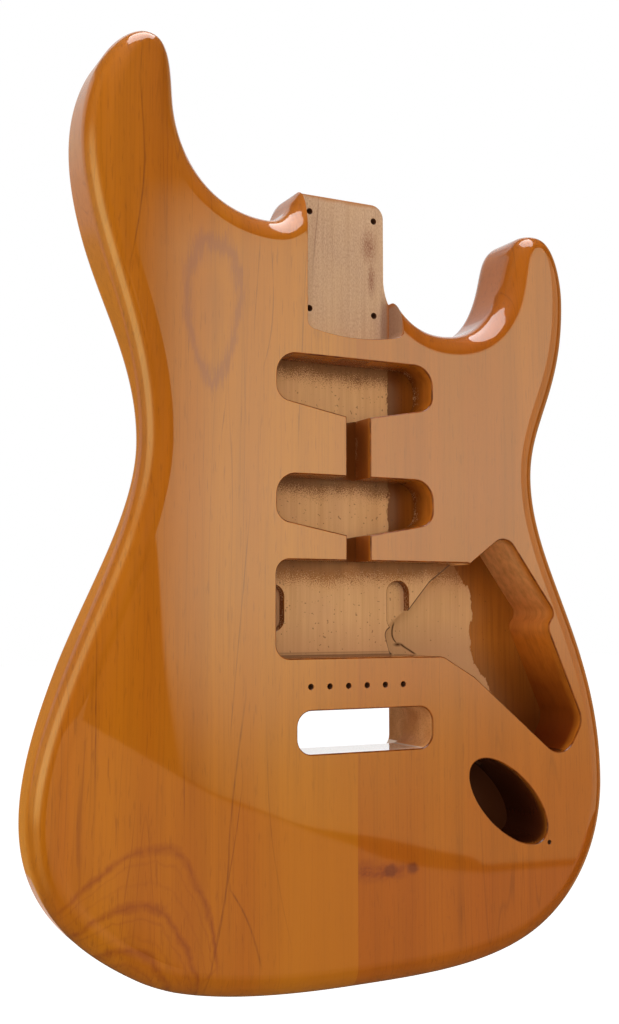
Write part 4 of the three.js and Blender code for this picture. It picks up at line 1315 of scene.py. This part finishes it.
def studio_floor(settings, level):
    """A wide pale floor that keeps the body's shadow and glows a little where it is seen."""
    half, glow = 30, 0.8
    corners = [(-half, -half, level), (half, -half, level), (half, half, level), (-half, half, level)]
    mesh = bpy.data.meshes.new("studio_floor")
    mesh.from_pydata(corners, [], [(0, 1, 2, 3)])
    material = bpy.data.materials.new("floor_white")
    nodes = Nodes(material, "ShaderNodeAddShader")
    matte = nodes.add("ShaderNodeBsdfDiffuse", Color=tuple(settings.white))
    glowing = nodes.add("ShaderNodeEmission", Strength=nodes.times(nodes.seen(), glow))
    nodes.put(nodes.shader.inputs[0], matte.outputs[0])
    nodes.put(nodes.shader.inputs[1], glowing.outputs[0])
    mesh.materials.append(material)
    floor = bpy.data.objects.new("studio_floor", mesh)
    bpy.context.scene.collection.objects.link(floor)


def studio_world(settings):
    """Even light from all round, white where it is seen or mirrored."""
    world = bpy.data.worlds.new("studio_world")
    bpy.context.scene.world = world
    nodes = Nodes(world, "ShaderNodeMixShader", "ShaderNodeOutputWorld")
    light = nodes.add("ShaderNodeBackground", Color=(1, 1, 1, 1), Strength=settings.sky_light)
    white = nodes.add("ShaderNodeBackground", Color=(1, 1, 1, 1), Strength=1.0)
    nodes.put(nodes.shader.inputs[0], nodes.seen())
    nodes.put(nodes.shader.inputs[1], light.outputs[0])
    nodes.put(nodes.shader.inputs[2], white.outputs[0])


def studio_lamp(name, place, target, width, height, power):
    """A rectangular lamp that lights the body and isn't seen or mirrored."""
    lamp = bpy.data.lights.new(name, "AREA")
    lamp.shape = "RECTANGLE"
    lamp.size, lamp.size_y = width, height
    lamp.energy = power
    piece = bpy.data.objects.new(name, lamp)
    bpy.context.scene.collection.objects.link(piece)
    piece.location = place
    piece.rotation_euler = (Vector(target) - Vector(place)).to_track_quat("-Z", "Y").to_euler()
    piece.visible_camera = False
    piece.visible_glossy = False


def studio_camera(scene, settings):
    """The camera, turned from +Y by its yaw and pitch."""
    data = bpy.data.cameras.new("studio_camera")
    data.lens = settings.focal_length
    data.sensor_width = 36
    camera = bpy.data.objects.new("studio_camera", data)
    scene.collection.objects.link(camera)
    yaw, pitch = settings.camera_yaw, settings.camera_pitch
    forward = Vector((math.cos(pitch) * math.sin(yaw), math.cos(pitch) * math.cos(yaw), math.sin(pitch)))
    camera.location = settings.camera_place
    camera.rotation_euler = forward.to_track_quat("-Z", "Y").to_euler()
    scene.camera = camera


# Operators

class GUITARBODY_OT_bass_board(bpy.types.Operator):
    """Builds the bass board with the long horn, the forearm contour and the belly cut"""

    bl_idname = "guitarbody.bass_board"
    bl_label = "Bass board"

    def execute(self, context):
        board_piece(context, "bass_board_wood", "bass_board", -1)
        return {"FINISHED"}


class GUITARBODY_OT_treble_board(bpy.types.Operator):
    """Builds the treble board with the short horn and the control and jack cavities"""

    bl_idname = "guitarbody.treble_board"
    bl_label = "Treble board"

    def execute(self, context):
        board_piece(context, "treble_board_wood", "treble_board", 1)
        return {"FINISHED"}


class GUITARBODY_OT_stage(bpy.types.Operator):
    """Sets the camera, the pale floor, the softboxes and the dark flags round the body"""

    bl_idname = "guitarbody.stage"
    bl_label = "Studio"

    def execute(self, context):
        scene = context.scene
        settings = scene.guitar_stage
        scene.view_settings.view_transform = "Standard"
        studio_camera(scene, settings)
        studio_floor(settings, -scene.guitar_blank.tail_distance - settings.floor_drop)
        studio_world(settings)
        front_cards(settings)
        flags()
        side_cards()
        studio_lamp("top_light", (0.0, -0.35, 1.5), (0, 0, 0), 0.9, 0.5, settings.top_light)
        studio_lamp("fill_light", (-1.0, -2.5, 0.5), (0, 0, -0.1), 1.6, 1.6, settings.fill_light)
        studio_lamp("side_light", (-2.4, -0.5, 0.6), (0, 0, -0.1), 1.2, 1.2, settings.side_light)
        return {"FINISHED"}


class GUITARBODY_PT_panel(bpy.types.Panel):
    """Lists the steps in the order in which they are run"""

    bl_label = "Guitar Body"
    bl_idname = "GUITARBODY_PT_panel"
    bl_space_type = "VIEW_3D"
    bl_region_type = "UI"
    bl_category = "Guitar Body"

    def draw(self, context):
        layout = self.layout
        for operator in OPERATORS:
            layout.operator(operator.bl_idname)
        for name, group in SETTINGS.items():
            box = layout.box()
            settings = getattr(context.scene, name)
            for key in group.__annotations__:
                box.prop(settings, key)


OPERATORS = (GUITARBODY_OT_bass_board, GUITARBODY_OT_treble_board, GUITARBODY_OT_stage)


def register():
    for group in (*SETTINGS.values(), *OPERATORS, GUITARBODY_PT_panel):
        bpy.utils.register_class(group)
    for name, group in SETTINGS.items():
        setattr(bpy.types.Scene, name, bpy.props.PointerProperty(type=group))


def unregister():
    for name in SETTINGS:
        delattr(bpy.types.Scene, name)
    for group in reversed((*SETTINGS.values(), *OPERATORS, GUITARBODY_PT_panel)):
        bpy.utils.unregister_class(group)


def main():
    register()
    bpy.ops.guitarbody.bass_board()
    bpy.ops.guitarbody.treble_board()
    bpy.ops.guitarbody.stage()


if __name__ == "__main__":
    main()
